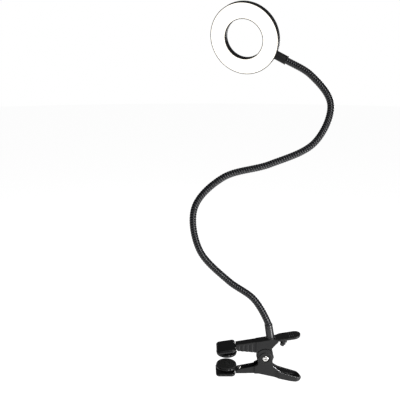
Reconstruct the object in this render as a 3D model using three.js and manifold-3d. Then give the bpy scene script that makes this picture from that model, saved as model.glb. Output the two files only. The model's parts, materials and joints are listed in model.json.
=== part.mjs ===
// Clip-on ring reading lamp: a spring clip, a bendable gooseneck and a thin ring light.
//
// Millimetres, +Z up. The origin is the centre of the upper foot's sole, where the clip rests on a board.
// +X runs from the jaws to the finger levers, +Y runs away from the front of the lamp.

import * as THREE from "three";
import { mergeVertices } from "three/addons/utils/BufferGeometryUtils.js";
import Module from "manifold-3d";

const wasm = await Module();
wasm.setup();

// ---------------------------------------------------------------- driving dimensions

const GAP = 0.3;                       // running clearance between separate pieces
const BOARD = 15;                      // thickness of the board the jaws hold at rest

const PIVOT = { x: 49.7, z: -4.6 };    // clip pivot axis, parallel to Y
const TOP_RISE = 0.17;                 // slope of the upper arm's top face
const TOP_AT_ORIGIN = 12;
const ARM_HALF = 6;                    // half width of the upper arm's cheeks and lever
const BEAM_HALF = 5.2;                 // half width of both jaw beams
const BEAM_BORE_HALF = 3.9;
const UPPER_BORE_HALF = 4.3;
const PLATE_THICK = 2;                 // wall under the upper arm's top face
const LEVER_THICK = 3;
const LEVER_TIP = 94;
const PADDLE_HALF = 8.6;               // half width of both finger pads
const PADDLE_START = 68;               // where a lever has widened to its finger pad
const EAR_IN = 2.7;                    // the upper arm's ears lie between these two distances from Y = 0
const EAR_OUT = 4.4;
const EAR_RADIUS = 11;
const CHEEK_IN = 4.7;                  // the lower arm's cheeks lie between these two
const CHEEK_OUT = 6.6;
const ARCH_RADIUS = 13;                // round top of the lower cheeks, about the pivot
const CHEEK_ARCH_HALF = 9.3;           // half length of the lower cheeks, along X
const BOSS_RADIUS = 8.4;
const BOSS_FACE = 7.5;
const SEAT = 5.7;                      // bottom of the counterbore and of the nut pocket
const PIVOT_BORE = 2.3;
const SHANK_RADIUS = 1.9;              // pivot screw

const FOOT_RADIUS = 13.5;
const PIN_HEIGHT = 5.6;                // foot swivel axis above the sole
const PIN_RADIUS = 1;
const JAW_TOP = 11;                    // upper jaw plate's top face above the sole
const JAW_LENGTH = 24.8;
const JAW_MIDDLE = -1.4;
const JAW_HALF = 14.5;
const JAW_DEEP = 4.4;
const JAW_SKIN = 2;
const LOWER_JAW_TOP = 11.4;            // lower jaw plate's outer face from its own sole
const TONGUE_THICK = 2.4;
const TONGUE_SCREW_X = 17;
const TONGUE_BORE = 1.5;
const SCREW_BITE = 1.2;                // how far a tongue screw reaches into the arm

const FERRULE_X = 56;
const FERRULE_LONG = 19.4;
const FERRULE_FOOT_RADIUS = 5.6;
const FERRULE_TOP_RADIUS = 5.1;
const STUD_RADIUS = 2.4;
const STUD_LONG = 6.4;

const NECK_RADIUS = 4.4;
const NECK_BORE = 1.35;
const NECK_SOCKET = 4.75;              // bore of the ferrule and of the collar around the neck
const BALL_RADIUS = 3.2;
const CUP_RADIUS = 3.6;
const NECK_INSET = 8;                  // length of neck inside the ferrule
const JOINT_NECK = 2.6;                // free length between a ball's centre and its tube
const NECK_LEAN = THREE.MathUtils.degToRad(14.5);
const NECK_PLANE_Y = -6;               // where the neck's leaning plane meets Z = 0
const LEAD_RADIUS = 0.75;

const HEAD_CENTRE = new THREE.Vector3(22.3, 107, 391.9);
const FACE_YAW = THREE.MathUtils.degToRad(25.7);
const FACE_PITCH = THREE.MathUtils.degToRad(17.9);
const COLLAR_ANGLE = THREE.MathUtils.degToRad(-28.5);
const RING_OUTER = 47;
const RING_INNER = 26;
const RING_DEEP = 10;
const RING_WALL = 1.4;
const RIM_WIDE = 0.8;
const RIM_DEEP = 1.1;
const RING_MIDDLE = (RING_OUTER + RING_INNER) / 2;
const COLLAR_RADIUS = 5.6;
const COLLAR_START = RING_OUTER - 1;    // the collar's two ends, from the ring's centre
const COLLAR_END = RING_OUTER + 16;
const COLLAR_LEVEL = -5.2;             // collar axis behind the diffuser's face
const COLLAR_STUD = 2;
const COLLAR_GRIP = 4;                 // length of neck inside the collar
const CHIPS = 18;
const BACK_SCREWS = 3;
const BACK_SCREW_RADIUS = 0.95;
const BACK_SCREW_HOLE = 1.3;

const LATHE_SEGMENTS = 32;
const FOOT_SEGMENTS = 26;

// ---------------------------------------------------------------- materials

function material(color, roughness, metalness = 0) {
  return new THREE.MeshStandardMaterial({ color, roughness, metalness });
}

const black = material(0x17181a, 0.42);
const gloss = material(0x0d0e10, 0.16);
const rubber = material(0x1b1b1c, 0.85);
const neckBlack = material(0x14151a, 0.3, 0.4);
const steel = material(0xc9cbce, 0.25, 0.95);
const spring = material(0x8f9296, 0.35, 0.9);
const glow = new THREE.MeshStandardMaterial({ color: 0xfffdf6, roughness: 0.4, emissive: 0xfff6e6 });
const white = material(0xf2f2ee, 0.6);
const boardWhite = material(0xe9ece6, 0.5);
const wire = material(0x222226, 0.6);

// ---------------------------------------------------------------- solids

function isFacingIn(positions, triangles) {
  const [a, b, c] = [new THREE.Vector3(), new THREE.Vector3(), new THREE.Vector3()];
  let volume = 0;
  for (let i = 0; i < triangles.length; i += 3) {
    a.fromArray(positions, 3 * triangles[i]);
    b.fromArray(positions, 3 * triangles[i + 1]);
    c.fromArray(positions, 3 * triangles[i + 2]);
    volume += a.dot(b.cross(c));
  }
  return volume < 0;
}

function solid(geometry) {
  const bare = geometry.clone();
  bare.deleteAttribute("normal");
  bare.deleteAttribute("uv");
  const merged = mergeVertices(bare, 1e-4);
  const vertProperties = new Float32Array(merged.attributes.position.array);
  const triVerts = new Uint32Array(merged.index.array);
  if (isFacingIn(vertProperties, triVerts)) {
    triVerts.reverse();
  }
  return new wasm.Manifold(new wasm.Mesh({ numProp: 3, vertProperties, triVerts }));
}

function union(...geometries) {
  return geometries.map(solid).reduce((whole, piece) => whole.add(piece));
}

function minus(whole, ...geometries) {
  return geometries.map(solid).reduce((rest, piece) => rest.subtract(piece), whole);
}

function geometryOf(manifold) {
  const { vertProperties, triVerts } = manifold.getMesh();
  const geometry = new THREE.BufferGeometry();
  geometry.setAttribute("position", new THREE.BufferAttribute(vertProperties, 3));
  geometry.setIndex(new THREE.BufferAttribute(triVerts, 1));
  geometry.computeVertexNormals();
  return geometry;
}

function place(parent, name, manifold, look) {
  const piece = new THREE.Mesh(geometryOf(manifold), look);
  piece.name = name;
  parent.add(piece);
  return piece;
}

// An outline in X and Z, made into a plate that fills Y from low to high.
function plate(outline, low, high) {
  const isShape = outline instanceof THREE.Shape;
  const shape = isShape ? outline : new THREE.Shape(outline.map(([x, z]) => new THREE.Vector2(x, z)));
  const options = { depth: high - low, bevelEnabled: false, curveSegments: 9 };
  const geometry = new THREE.ExtrudeGeometry(shape, options);
  return geometry.rotateX(Math.PI / 2).translate(0, high, 0);
}

function disc(radius, x, z, low, high, segments = 24) {
  return new THREE.CylinderGeometry(radius, radius, high - low, segments).translate(x, (low + high) / 2, z);
}

function box(x0, x1, y0, y1, z0, z1) {
  const block = new THREE.BoxGeometry(x1 - x0, y1 - y0, z1 - z0);
  return block.translate((x0 + x1) / 2, (y0 + y1) / 2, (z0 + z1) / 2);
}

// A profile of [radius, height] turned about Z.
function turned(profile, segments = LATHE_SEGMENTS) {
  const points = profile.map(([radius, height]) => new THREE.Vector2(radius, height));
  return new THREE.LatheGeometry(points, segments).rotateX(Math.PI / 2);
}

function ring(profile, segments = LATHE_SEGMENTS) {
  return turned([...profile, profile[0]], segments);
}

function tube(inner, outer, low, high, segments = 24) {
  return ring([[inner, low], [outer, low], [outer, high], [inner, high]], segments);
}

function peg(radius, low, high, segments = 14) {
  return turned([[0, low], [radius, low], [radius, high], [0, high]], segments);
}

// ---------------------------------------------------------------- upper arm

const topAt = (x) => TOP_AT_ORIGIN + TOP_RISE * x;
const ARM_TILT = Math.atan(TOP_RISE);

// Puts a geometry made about Z at a point of the upper arm's top face, square to that face.
function squareToArm(geometry, x) {
  return geometry.rotateY(-ARM_TILT).translate(x, 0, topAt(x));
}

const BEAM_START = 11.6;
const CHEEK_START = 37.3;
const GLAND_X = 75.5;
const UPPER_TONGUE = TOP_AT_ORIGIN - PLATE_THICK - GAP;

// Puts a geometry made about Z on the screw axis of a jaw plate's tongue, at the tongue's outer face.
function onTongue(geometry, tilt, tongueTop) {
  const height = tongueTop + TONGUE_SCREW_X * Math.tan(tilt);
  return geometry.rotateY(-tilt).translate(TONGUE_SCREW_X, 0, height);
}

// Turns an upper jaw geometry over for the lower jaw, with its sole under the board.
function asLower(geometry) {
  return geometry.rotateX(Math.PI).translate(0, 0, -BOARD);
}

// The plan of a lever: straight sides that flare into a finger pad with a rounded tip.
function leverPlan(start, tip, half, padHalf) {
  const flare = PADDLE_START - 7;
  const plan = new THREE.Shape();
  plan.moveTo(start, -half);
  plan.lineTo(flare, -half);
  plan.bezierCurveTo(flare + 4, -half, PADDLE_START - 3, -padHalf, PADDLE_START + 2, -padHalf);
  plan.lineTo(tip - padHalf, -padHalf);
  plan.absarc(tip - padHalf, 0, padHalf, -Math.PI / 2, Math.PI / 2);
  plan.lineTo(PADDLE_START + 2, padHalf);
  plan.bezierCurveTo(PADDLE_START - 3, padHalf, flare + 4, half, flare, half);
  plan.lineTo(start, half);
  const depth = 120;
  const block = new THREE.ExtrudeGeometry(plan, { depth, bevelEnabled: false, curveSegments: 7 });
  return block.translate(0, 0, -depth / 2);
}

function upperArm() {
  const beam = [
    [BEAM_START, topAt(BEAM_START)],
    [BEAM_START, 8.2],
    [14.6, 5.2],
    [38.5, 3],
    [38.5, topAt(38.5)],
  ];
  const cheek = new THREE.Shape();
  cheek.moveTo(CHEEK_START, 3.4);
  cheek.lineTo(CHEEK_START, topAt(CHEEK_START));
  cheek.lineTo(LEVER_TIP, topAt(LEVER_TIP));
  cheek.lineTo(LEVER_TIP, topAt(LEVER_TIP) - LEVER_THICK);
  cheek.lineTo(71.5, topAt(71.5) - LEVER_THICK);
  cheek.quadraticCurveTo(66.5, topAt(66.5) - LEVER_THICK, 57.6, 8.6);
  cheek.lineTo(57.6, 3);
  const pad = [
    [60, topAt(60)],
    [60, topAt(60) - LEVER_THICK],
    [LEVER_TIP, topAt(LEVER_TIP) - LEVER_THICK],
    [LEVER_TIP, topAt(LEVER_TIP)],
  ];
  const boss = squareToArm(peg(ARM_HALF, -1, 1.2, 28), FERRULE_X);
  const outside = solid(plate(cheek, -ARM_HALF, ARM_HALF))
    .add(solid(plate(pad, -PADDLE_HALF, PADDLE_HALF)))
    .intersect(solid(leverPlan(CHEEK_START - 1, LEVER_TIP, ARM_HALF, PADDLE_HALF)))
    .add(solid(plate(beam, -BEAM_HALF, BEAM_HALF)))
    .add(solid(boss));

  const ceiling = (x) => topAt(x) - PLATE_THICK;
  const under = (start, end) => [[start, -20], [start, ceiling(start)], [end, ceiling(end)], [end, -20]];
  const padWall = 1.7;
  const padRoom = solid(plate(under(62, LEVER_TIP), -PADDLE_HALF, PADDLE_HALF))
    .intersect(solid(leverPlan(30, LEVER_TIP - padWall, UPPER_BORE_HALF, PADDLE_HALF - padWall)));
  const archRoom = ARCH_RADIUS + 0.4;
  const outsideEars = ARM_HALF + 1;
  let arm = minus(
    outside.subtract(padRoom),
    plate(under(38.5, 80), -UPPER_BORE_HALF, UPPER_BORE_HALF),
    plate(under(BEAM_START - 1, 39), -BEAM_BORE_HALF, BEAM_BORE_HALF),
    disc(archRoom, PIVOT.x, PIVOT.z, EAR_OUT, outsideEars),
    disc(archRoom, PIVOT.x, PIVOT.z, -outsideEars, -EAR_OUT),
  );

  const web = [[38.9, PIVOT.z], [38.9, 14.4], [62, 14.4], [58, 8.6], [60.6, PIVOT.z]];
  for (const [low, high] of [[EAR_IN, EAR_OUT], [-EAR_OUT, -EAR_IN]]) {
    arm = arm.add(solid(disc(EAR_RADIUS, PIVOT.x, PIVOT.z, low, high))).add(solid(plate(web, low, high)));
  }
  return minus(
    arm,
    disc(PIVOT_BORE, PIVOT.x, PIVOT.z, -ARM_HALF, ARM_HALF, 14),
    squareToArm(peg(STUD_RADIUS + GAP, -6, 3), FERRULE_X),
    squareToArm(peg(2.4, -LEVER_THICK - 1, -0.7), GLAND_X),
    onTongue(peg(TONGUE_BORE, -1, SCREW_BITE + GAP, 12), ARM_TILT, UPPER_TONGUE),
  );
}

// ---------------------------------------------------------------- lower arm

const LOWER_FLOOR = 2;
const LOWER_BEAM_OUTSIDE = -26.6;
const LOWER_TONGUE = 9.1;

const LOWER_TIP = 97.5;

// The underside of the lower lever: straight from the cheeks to the finger pad.
const underAt = (x) => -26.2 - 0.236 * (x - 41.2);

function archedCheek() {
  const half = CHEEK_ARCH_HALF;
  const rise = Math.sqrt(ARCH_RADIUS ** 2 - half ** 2);
  const corner = Math.asin(rise / ARCH_RADIUS);
  const shape = new THREE.Shape();
  shape.moveTo(PIVOT.x - half, -13.4);
  shape.lineTo(PIVOT.x - half, PIVOT.z + rise);
  shape.absarc(PIVOT.x, PIVOT.z, ARCH_RADIUS, Math.PI - corner, corner, true);
  shape.lineTo(PIVOT.x + half, -12);
  shape.quadraticCurveTo(PIVOT.x + half, -15.8, 62, -18.6);
  shape.lineTo(80, -30);
  shape.lineTo(80, underAt(80));
  shape.lineTo(41.2, underAt(41.2));
  shape.lineTo(36, -26.3);
  shape.lineTo(36, -15.9);
  return shape;
}

// The finger pad of the lower lever, seen from the side: thin at its tip.
function padSide() {
  const shape = new THREE.Shape();
  shape.moveTo(60, -18);
  shape.lineTo(66, -22.6);
  shape.quadraticCurveTo(80, -27.4, 92, -31);
  shape.quadraticCurveTo(96, -32.6, LOWER_TIP, -34.2);
  shape.quadraticCurveTo(95, -36.8, 88, -36.6);
  shape.lineTo(82, underAt(82));
  shape.lineTo(60, underAt(60));
  return shape;
}

function lowerArm() {
  const beam = [
    [BEAM_START, LOWER_BEAM_OUTSIDE],
    [40, -26.2],
    [40, -15.5],
    [14.6, -20.9],
    [BEAM_START, -23.5],
  ];
  const outside = solid(plate(archedCheek(), -CHEEK_OUT, CHEEK_OUT))
    .add(solid(plate(padSide(), -PADDLE_HALF, PADDLE_HALF)))
    .intersect(solid(leverPlan(35, LOWER_TIP, CHEEK_OUT, PADDLE_HALF)))
    .add(solid(plate(beam, -BEAM_HALF, BEAM_HALF)))
    .add(solid(disc(BOSS_RADIUS, PIVOT.x, PIVOT.z, -BOSS_FACE, BOSS_FACE)));

  const floorAt = (x) => underAt(x) + LOWER_FLOOR;
  const roomEnd = LOWER_TIP - 1.8;
  const leverRoom = [
    [41, 30],
    [38, -23.9],
    [44, floorAt(44)],
    [82, floorAt(82)],
    [89, -34.5],
    [roomEnd, -33.6],
    [roomEnd, 30],
  ];
  const beamRoom = [[BEAM_START - 1, -24.4], [42, -24.1], [42, 0], [BEAM_START - 1, 0]];
  const padWall = 1.8;
  const scoop = solid(plate(leverRoom, -PADDLE_HALF, PADDLE_HALF))
    .intersect(solid(leverPlan(30, roomEnd, CHEEK_IN, PADDLE_HALF - padWall)));
  return minus(
    outside.subtract(scoop),
    plate(beamRoom, -BEAM_BORE_HALF, BEAM_BORE_HALF),
    disc(PIVOT_BORE, PIVOT.x, PIVOT.z, -BOSS_FACE - 1, BOSS_FACE + 1, 14),
    disc(4.7, PIVOT.x, PIVOT.z, -BOSS_FACE - 1, -SEAT, 20),
    disc(4.5, PIVOT.x, PIVOT.z, SEAT, BOSS_FACE + 1, 6),
    asLower(onTongue(peg(TONGUE_BORE, -1, SCREW_BITE + GAP, 12), 0, LOWER_TONGUE)),
  );
}

// ---------------------------------------------------------------- pivot hardware

function acrossArms(geometry) {
  return geometry.rotateX(Math.PI / 2).translate(PIVOT.x, 0, PIVOT.z);
}

function pivotScrew() {
  const head = SEAT + GAP;
  const crown = head + 1.9;
  const profile = [
    [0, -8.6],
    [SHANK_RADIUS, -8.6],
    [SHANK_RADIUS, head],
    [4.2, head],
    [4.2, head + 0.7],
    [3.2, head + 1.5],
    [0, crown],
  ];
  const slot = { long: 2.6, wide: 0.5, deep: 1.1 };
  const cross = [
    box(-slot.long, slot.long, -slot.wide, slot.wide, crown - slot.deep, crown + 1),
    box(-slot.wide, slot.wide, -slot.long, slot.long, crown - slot.deep, crown + 1),
  ];
  const screw = minus(solid(turned(profile, 24)), ...cross);
  return solid(acrossArms(geometryOf(screw)));
}

const NUT_RADIUS = 4.1;
const NUT_THICK = 2.3;

function pivotNut() {
  const low = -SEAT - GAP;
  return minus(
    solid(acrossArms(peg(NUT_RADIUS, low - NUT_THICK, low, 6))),
    acrossArms(peg(SHANK_RADIUS + GAP, -12, 0, 16)),
  );
}

function pivotSleeve() {
  return solid(acrossArms(tube(PIVOT_BORE, 3.1, -EAR_IN + GAP, EAR_IN - GAP, 20)));
}

// A wire sprung between the two levers: a leg, the coil about the pivot, and the other leg.
function torsionSpring() {
  const coil = 4.7;
  const wireRadius = 0.7;
  const turns = 2;
  const reach = 1.65;
  const ends = [new THREE.Vector2(68, 20.3), new THREE.Vector2(72, -30)];
  const [up, down] = ends.map((end) => {
    const offset = end.clone().sub(new THREE.Vector2(PIVOT.x, PIVOT.z));
    return { angle: offset.angle(), swing: Math.acos(coil / offset.length()) };
  });
  const first = up.angle + up.swing;
  const last = down.angle - down.swing + 2 * Math.PI * turns;
  const steps = 34;
  const path = new THREE.CurvePath();
  const points = [];
  for (let i = 0; i <= steps; i++) {
    const angle = first + ((last - first) * i) / steps;
    const y = -reach + (2 * reach * i) / steps;
    const [x, z] = [coil * Math.cos(angle), coil * Math.sin(angle)];
    points.push(new THREE.Vector3(PIVOT.x + x, y, PIVOT.z + z));
  }
  const legs = ends.map((end, i) => new THREE.Vector3(end.x, i === 0 ? -reach : reach, end.y));
  path.add(new THREE.LineCurve3(legs[0], points[0]));
  path.add(new THREE.CatmullRomCurve3(points));
  path.add(new THREE.LineCurve3(points[steps], legs[1]));
  return solid(sweep(path, wireRadius, 52, 5));
}

// ---------------------------------------------------------------- jaws and feet

function roundedPlan(long, half, corner) {
  const plan = new THREE.Shape();
  const x = long / 2;
  plan.moveTo(-x + corner, -half);
  plan.lineTo(x - corner, -half);
  plan.absarc(x - corner, -half + corner, corner, -Math.PI / 2, 0);
  plan.lineTo(x, half - corner);
  plan.absarc(x - corner, half - corner, corner, 0, Math.PI / 2);
  plan.lineTo(-x + corner, half);
  plan.absarc(-x + corner, half - corner, corner, Math.PI / 2, Math.PI);
  plan.lineTo(-x, -half + corner);
  plan.absarc(-x + corner, -half + corner, corner, Math.PI, 1.5 * Math.PI);
  return plan;
}

// A jaw plate in the upper jaw's place: a shallow cap over the foot, a fork for the foot's pin, and a tongue
// that goes into the end of the beam.
function jawPlate(top, tilt, tongueTop) {
  const edge = 0.7;
  const body = new THREE.ExtrudeGeometry(roundedPlan(JAW_LENGTH - 2 * edge, JAW_HALF - edge, 3.6), {
    depth: JAW_DEEP - 2 * edge,
    bevelSize: edge,
    bevelThickness: edge,
    bevelSegments: 1,
    curveSegments: 4,
  });
  const room = box(-20, 20, -JAW_HALF + 1.5, JAW_HALF - 1.5, -1, JAW_DEEP - JAW_SKIN);
  const cap = minus(solid(body.translate(0, 0, edge)), room);
  const lowered = geometryOf(cap).translate(JAW_MIDDLE, 0, -JAW_DEEP).rotateY(-tilt).translate(0, 0, top);
  let whole = solid(lowered);
  for (const [low, high] of [[3.6, 5.2], [-5.2, -3.6]]) {
    whole = whole.add(solid(disc(2.2, 0, PIN_HEIGHT, low, high, 20)));
    whole = whole.add(solid(box(-2.2, 2.2, low, high, PIN_HEIGHT, top - 1)));
  }
  const tongue = box(6, 23, -3.5, 3.5, -TONGUE_THICK, 0).rotateY(-tilt).translate(0, 0, tongueTop);
  const root = box(5, 10.6, -3.5, 3.5, -TONGUE_THICK, 1.2).rotateY(-tilt).translate(0, 0, tongueTop);
  return minus(
    whole.add(solid(tongue)).add(solid(root)),
    disc(PIN_RADIUS + GAP, 0, PIN_HEIGHT, -6, 6, 16),
    onTongue(peg(TONGUE_BORE, -8, 2, 12), tilt, tongueTop),
  );
}

// A self-tapping screw that holds a tongue against its arm, with its head inside the beam.
function tongueScrew(tilt, tongueTop) {
  const seat = -TONGUE_THICK - GAP;
  const [headRadius, shankRadius] = [2.6, 1.2];
  const profile = [
    [0, seat - 2],
    [headRadius, seat - 2],
    [headRadius, seat],
    [shankRadius, seat],
    [shankRadius, SCREW_BITE],
    [0, SCREW_BITE],
  ];
  return onTongue(turned(profile, 16), tilt, tongueTop);
}

function footBody() {
  const rim = [
    [0, 1.8],
    [12.7, 1.8],
    [13.3, 2],
    [FOOT_RADIUS, 2.5],
    [13.3, 3.2],
    [12.7, 3.8],
    [11.8, 3.9],
  ];
  const dish = [[11.2, 3.6], [10.9, 2.95], [0, 2.95]];
  const lug = [disc(2.3, 0, PIN_HEIGHT, -3.2, 3.2, 20), box(-2.3, 2.3, -3.2, 3.2, 2.5, PIN_HEIGHT)];
  return minus(
    union(turned([...rim, ...dish], FOOT_SEGMENTS), ...lug),
    disc(PIN_RADIUS + GAP, 0, PIN_HEIGHT, -4, 4, 16),
  );
}

function footSole() {
  return solid(turned([[0, 0], [12.5, 0], [12.9, 0.4], [12.9, 1.5], [0, 1.5]], FOOT_SEGMENTS));
}

function footPin() {
  return solid(disc(PIN_RADIUS, 0, PIN_HEIGHT, -5.6, 5.6, 12));
}

// ---------------------------------------------------------------- neck base and cord gland

function ferrule() {
  const profile = [
    [NECK_BORE, -STUD_LONG],
    [STUD_RADIUS, -STUD_LONG],
    [STUD_RADIUS, 1.5],
    [FERRULE_FOOT_RADIUS, 1.5],
    [FERRULE_FOOT_RADIUS, 2.6],
    [5.35, 3.2],
    [FERRULE_TOP_RADIUS + 0.1, 15.2],
    [FERRULE_TOP_RADIUS - 0.15, 15.6],
    [FERRULE_TOP_RADIUS, 16],
    [FERRULE_TOP_RADIUS, FERRULE_LONG],
    [NECK_SOCKET, FERRULE_LONG],
    [NECK_SOCKET, 11],
    [NECK_BORE, 11],
  ];
  return solid(squareToArm(ring(profile, 22), FERRULE_X));
}

function ferruleNut() {
  const top = -PLATE_THICK - GAP;
  return minus(
    solid(squareToArm(peg(4, top - 3, top, 6).rotateZ(Math.PI / 6), FERRULE_X)),
    squareToArm(peg(STUD_RADIUS + GAP, -9, 0, 16), FERRULE_X),
  );
}

const GLAND_SLANT = THREE.MathUtils.degToRad(24);

// The lead's way in: a flange against the lever's underside, and a ribbed spout that slants towards the jaws.
function cordGland() {
  const flangeTop = -PLATE_THICK - GAP;
  const flange = [
    [0, flangeTop - 1.2],
    [4, flangeTop - 1.2],
    [4, flangeTop],
    [2.1, flangeTop],
    [2.1, -1],
    [0, -1],
  ];
  const spout = [
    [0, -12.6],
    [2.7, -12.6],
    [2.9, -9.6],
    [3.7, -9.6],
    [3.7, -8.2],
    [3, -8.2],
    [3.1, -6],
    [4, -6],
    [4, -4.6],
    [3.2, -4.6],
    [3.2, -1.6],
    [0, -1.6],
  ];
  const top = topAt(GLAND_X) + flangeTop;
  const slanted = (geometry) => geometry.rotateY(GLAND_SLANT).translate(GLAND_X + 0.4, 0, top);
  const leadSlot = box(-8, 1.2, -1.3, 1.3, flangeTop - 3.1, flangeTop + 0.1);
  return minus(
    union(squareToArm(turned(flange, 14), GLAND_X), slanted(turned(spout, 12))),
    slanted(peg(1.5, -14, 4, 10)),
    squareToArm(leadSlot, GLAND_X),
  );
}

// ---------------------------------------------------------------- head frame

const faceNormal = new THREE.Vector3(
  -Math.sin(FACE_YAW) * Math.cos(FACE_PITCH),
  -Math.cos(FACE_YAW) * Math.cos(FACE_PITCH),
  -Math.sin(FACE_PITCH),
);
const faceLevel = new THREE.Vector3(Math.cos(FACE_YAW), -Math.sin(FACE_YAW), 0);
const collarWay = faceLevel.clone().applyAxisAngle(faceNormal, COLLAR_ANGLE);

// The head is made about its own axes: X towards the collar, Z out of the diffuser's face.
const head = new THREE.Group();
head.matrixAutoUpdate = false;
head.matrix.makeBasis(collarWay, faceNormal.clone().cross(collarWay), faceNormal).setPosition(HEAD_CENTRE);

const alongCollar = (distance) => new THREE.Vector3(distance, 0, COLLAR_LEVEL).applyMatrix4(head.matrix);

// ---------------------------------------------------------------- neck route

function alongFerrule(distance) {
  const [x, z] = [distance * Math.sin(ARM_TILT), distance * Math.cos(ARM_TILT)];
  return new THREE.Vector3(FERRULE_X - x, 0, topAt(FERRULE_X) + z);
}

const inNeckPlane = ([x, z]) => new THREE.Vector3(x, NECK_PLANE_Y + z * Math.tan(NECK_LEAN), z);

// The neck's flex joints, from the ferrule to the head: the first stands over the ferrule's end, the others lie
// in the leaning plane of its S.
const FIRST_JOINT = new THREE.Vector3(34.5, 8.6, 71);
const S_BEND = [[2, 92.5], [-35, 131], [-41, 183], [-5, 220], [56, 237], [113, 264], [133, 311], [108, 347]];
const neckJoints = [FIRST_JOINT, ...S_BEND.map(inNeckPlane)];

// The two-core lead goes from the gland, under the arm, up the ferrule and the neck, and into the ring.
const leadTail = [
  new THREE.Vector3(75.3, 0, 21.4),
  new THREE.Vector3(71, 0.1, 20.6),
  new THREE.Vector3(66.2, 1.5, 17),
  new THREE.Vector3(61.5, 1.6, 12),
  new THREE.Vector3(58.6, 0.8, 11.4),
  alongFerrule(-STUD_LONG - 1.2),
];
const neckStart = [alongFerrule(0), alongFerrule(FERRULE_LONG - NECK_INSET), alongFerrule(FERRULE_LONG)];
const neckEnd = [alongCollar(COLLAR_END), alongCollar(RING_OUTER), alongCollar(RING_OUTER - 4)];
const stations = [...leadTail, ...neckStart, ...neckJoints, ...neckEnd];
const route = new THREE.CatmullRomCurve3(stations, false, "centripetal");
const FIRST_JOINT_AT = leadTail.length + neckStart.length;
const LAST_STATION = stations.length - 1;

// Part of the route between two stations, counted from 0, with fractions between them.
class Stretch extends THREE.Curve {
  constructor(from, to) {
    super();
    this.from = from;
    this.to = to;
  }

  getPoint(t, target = new THREE.Vector3()) {
    return route.getPoint((this.from + (this.to - this.from) * t) / LAST_STATION, target);
  }
}

// The station number that lies a distance beyond station n (or before it, for a negative distance).
function beyond(n, distance) {
  const next = distance < 0 ? n - 1 : n + 1;
  const span = new Stretch(Math.min(n, next), Math.max(n, next)).getLength();
  return n + distance / span;
}

function polygon(radius, sides) {
  const points = [];
  for (let i = 0; i < sides; i++) {
    const angle = (2 * Math.PI * i) / sides;
    points.push(new THREE.Vector2(radius * Math.cos(angle), radius * Math.sin(angle)));
  }
  return points;
}

function sweep(path, radius, steps, sides, bore = 0) {
  const shape = new THREE.Shape(polygon(radius, sides));
  if (bore > 0) {
    shape.holes.push(new THREE.Path(polygon(bore, 6)));
  }
  return new THREE.ExtrudeGeometry(shape, { steps, extrudePath: path, bevelEnabled: false });
}

function ball(radius, at) {
  return new THREE.SphereGeometry(radius, 8, 6).translate(at.x, at.y, at.z);
}

// One stiff length of the neck, from station a to station b. A joint at its start gives it a ball, and a joint
// at its end gives it a cup for the next length's ball.
function neckLength(a, b, hasBall, hasCup, steps) {
  const start = hasBall ? beyond(a, JOINT_NECK) : a;
  let length = solid(sweep(new Stretch(start, b), NECK_RADIUS, steps, 10, NECK_BORE));
  if (hasBall) {
    const stalk = sweep(new Stretch(a, beyond(a, JOINT_NECK + 0.8)), 2.5, 1, 8);
    const bore = sweep(new Stretch(beyond(a, -4.5), beyond(a, 4.5)), NECK_BORE, 2, 6);
    length = minus(length.add(solid(stalk)).add(solid(ball(BALL_RADIUS, stations[a]))), bore);
  }
  return hasCup ? minus(length, ball(CUP_RADIUS, stations[b])) : length;
}

function innerLead() {
  return solid(sweep(new Stretch(0, LAST_STATION), LEAD_RADIUS, 84, 5));
}

// ---------------------------------------------------------------- ring head

function aroundRing(geometry, angle, radius) {
  return geometry.translate(radius, 0, 0).rotateZ(angle);
}

const screwAngles = Array.from(
  { length: BACK_SCREWS },
  (_, i) => Math.PI / 3 + (2 * Math.PI * i) / BACK_SCREWS,
);
const collarBore = (radius) => alongCollarAxis(peg(radius, 30, 70, 16));

function rearShell() {
  const front = -RIM_DEEP - GAP;
  const profile = [
    [RING_INNER, front],
    [RING_INNER, -RING_DEEP + 1.2],
    [RING_INNER + 1.2, -RING_DEEP],
    [RING_OUTER - 2, -RING_DEEP],
    [RING_OUTER - 0.6, -RING_DEEP + 0.7],
    [RING_OUTER, -RING_DEEP + 2.2],
    [RING_OUTER, front],
    [RING_OUTER - RING_WALL, front],
    [RING_OUTER - RING_WALL, -RING_DEEP + RING_WALL],
    [RING_INNER + RING_WALL, -RING_DEEP + RING_WALL],
    [RING_INNER + RING_WALL, front],
  ];
  const hole = () => peg(BACK_SCREW_HOLE, -RING_DEEP - 1, -RING_DEEP + 3, 10);
  const holes = screwAngles.map((angle) => aroundRing(hole(), angle, RING_MIDDLE));
  return minus(solid(ring(profile)), collarBore(COLLAR_STUD + GAP), ...holes);
}

function rim(low, high) {
  const edge = 0.25;
  const profile = [
    [low, -RIM_DEEP],
    [high, -RIM_DEEP],
    [high, -edge],
    [high - edge, 0],
    [low + edge, 0],
    [low, -edge],
  ];
  return solid(ring(profile));
}

function diffuser() {
  const inner = RING_INNER + RIM_WIDE + GAP;
  const outer = RING_OUTER - RIM_WIDE - GAP;
  const crown = 0.6;
  const profile = [[inner, -RIM_DEEP], [outer, -RIM_DEEP]];
  const points = 4;
  for (let i = 0; i <= points; i++) {
    const across = 1 - (2 * i) / points;
    profile.push([RING_MIDDLE + (across * (outer - inner)) / 2, crown * (1 - across ** 4) - 0.2]);
  }
  return solid(ring(profile));
}

function reflector() {
  const [inner, outer] = [RING_INNER + 2, RING_OUTER - 4.3];
  const [low, high, skin] = [-7.8, -3.6, 0.7];
  const tray = ring([
    [inner, high],
    [inner, low],
    [outer, low],
    [outer, high],
    [outer - skin, high],
    [outer - skin, low + skin],
    [inner + skin, low + skin],
    [inner + skin, high],
  ]);
  const hole = () => peg(BACK_SCREW_HOLE, low - 1, low + 2, 10);
  const holes = screwAngles.map((angle) => aroundRing(hole(), angle, RING_MIDDLE));
  return minus(solid(tray), ...holes);
}

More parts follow.
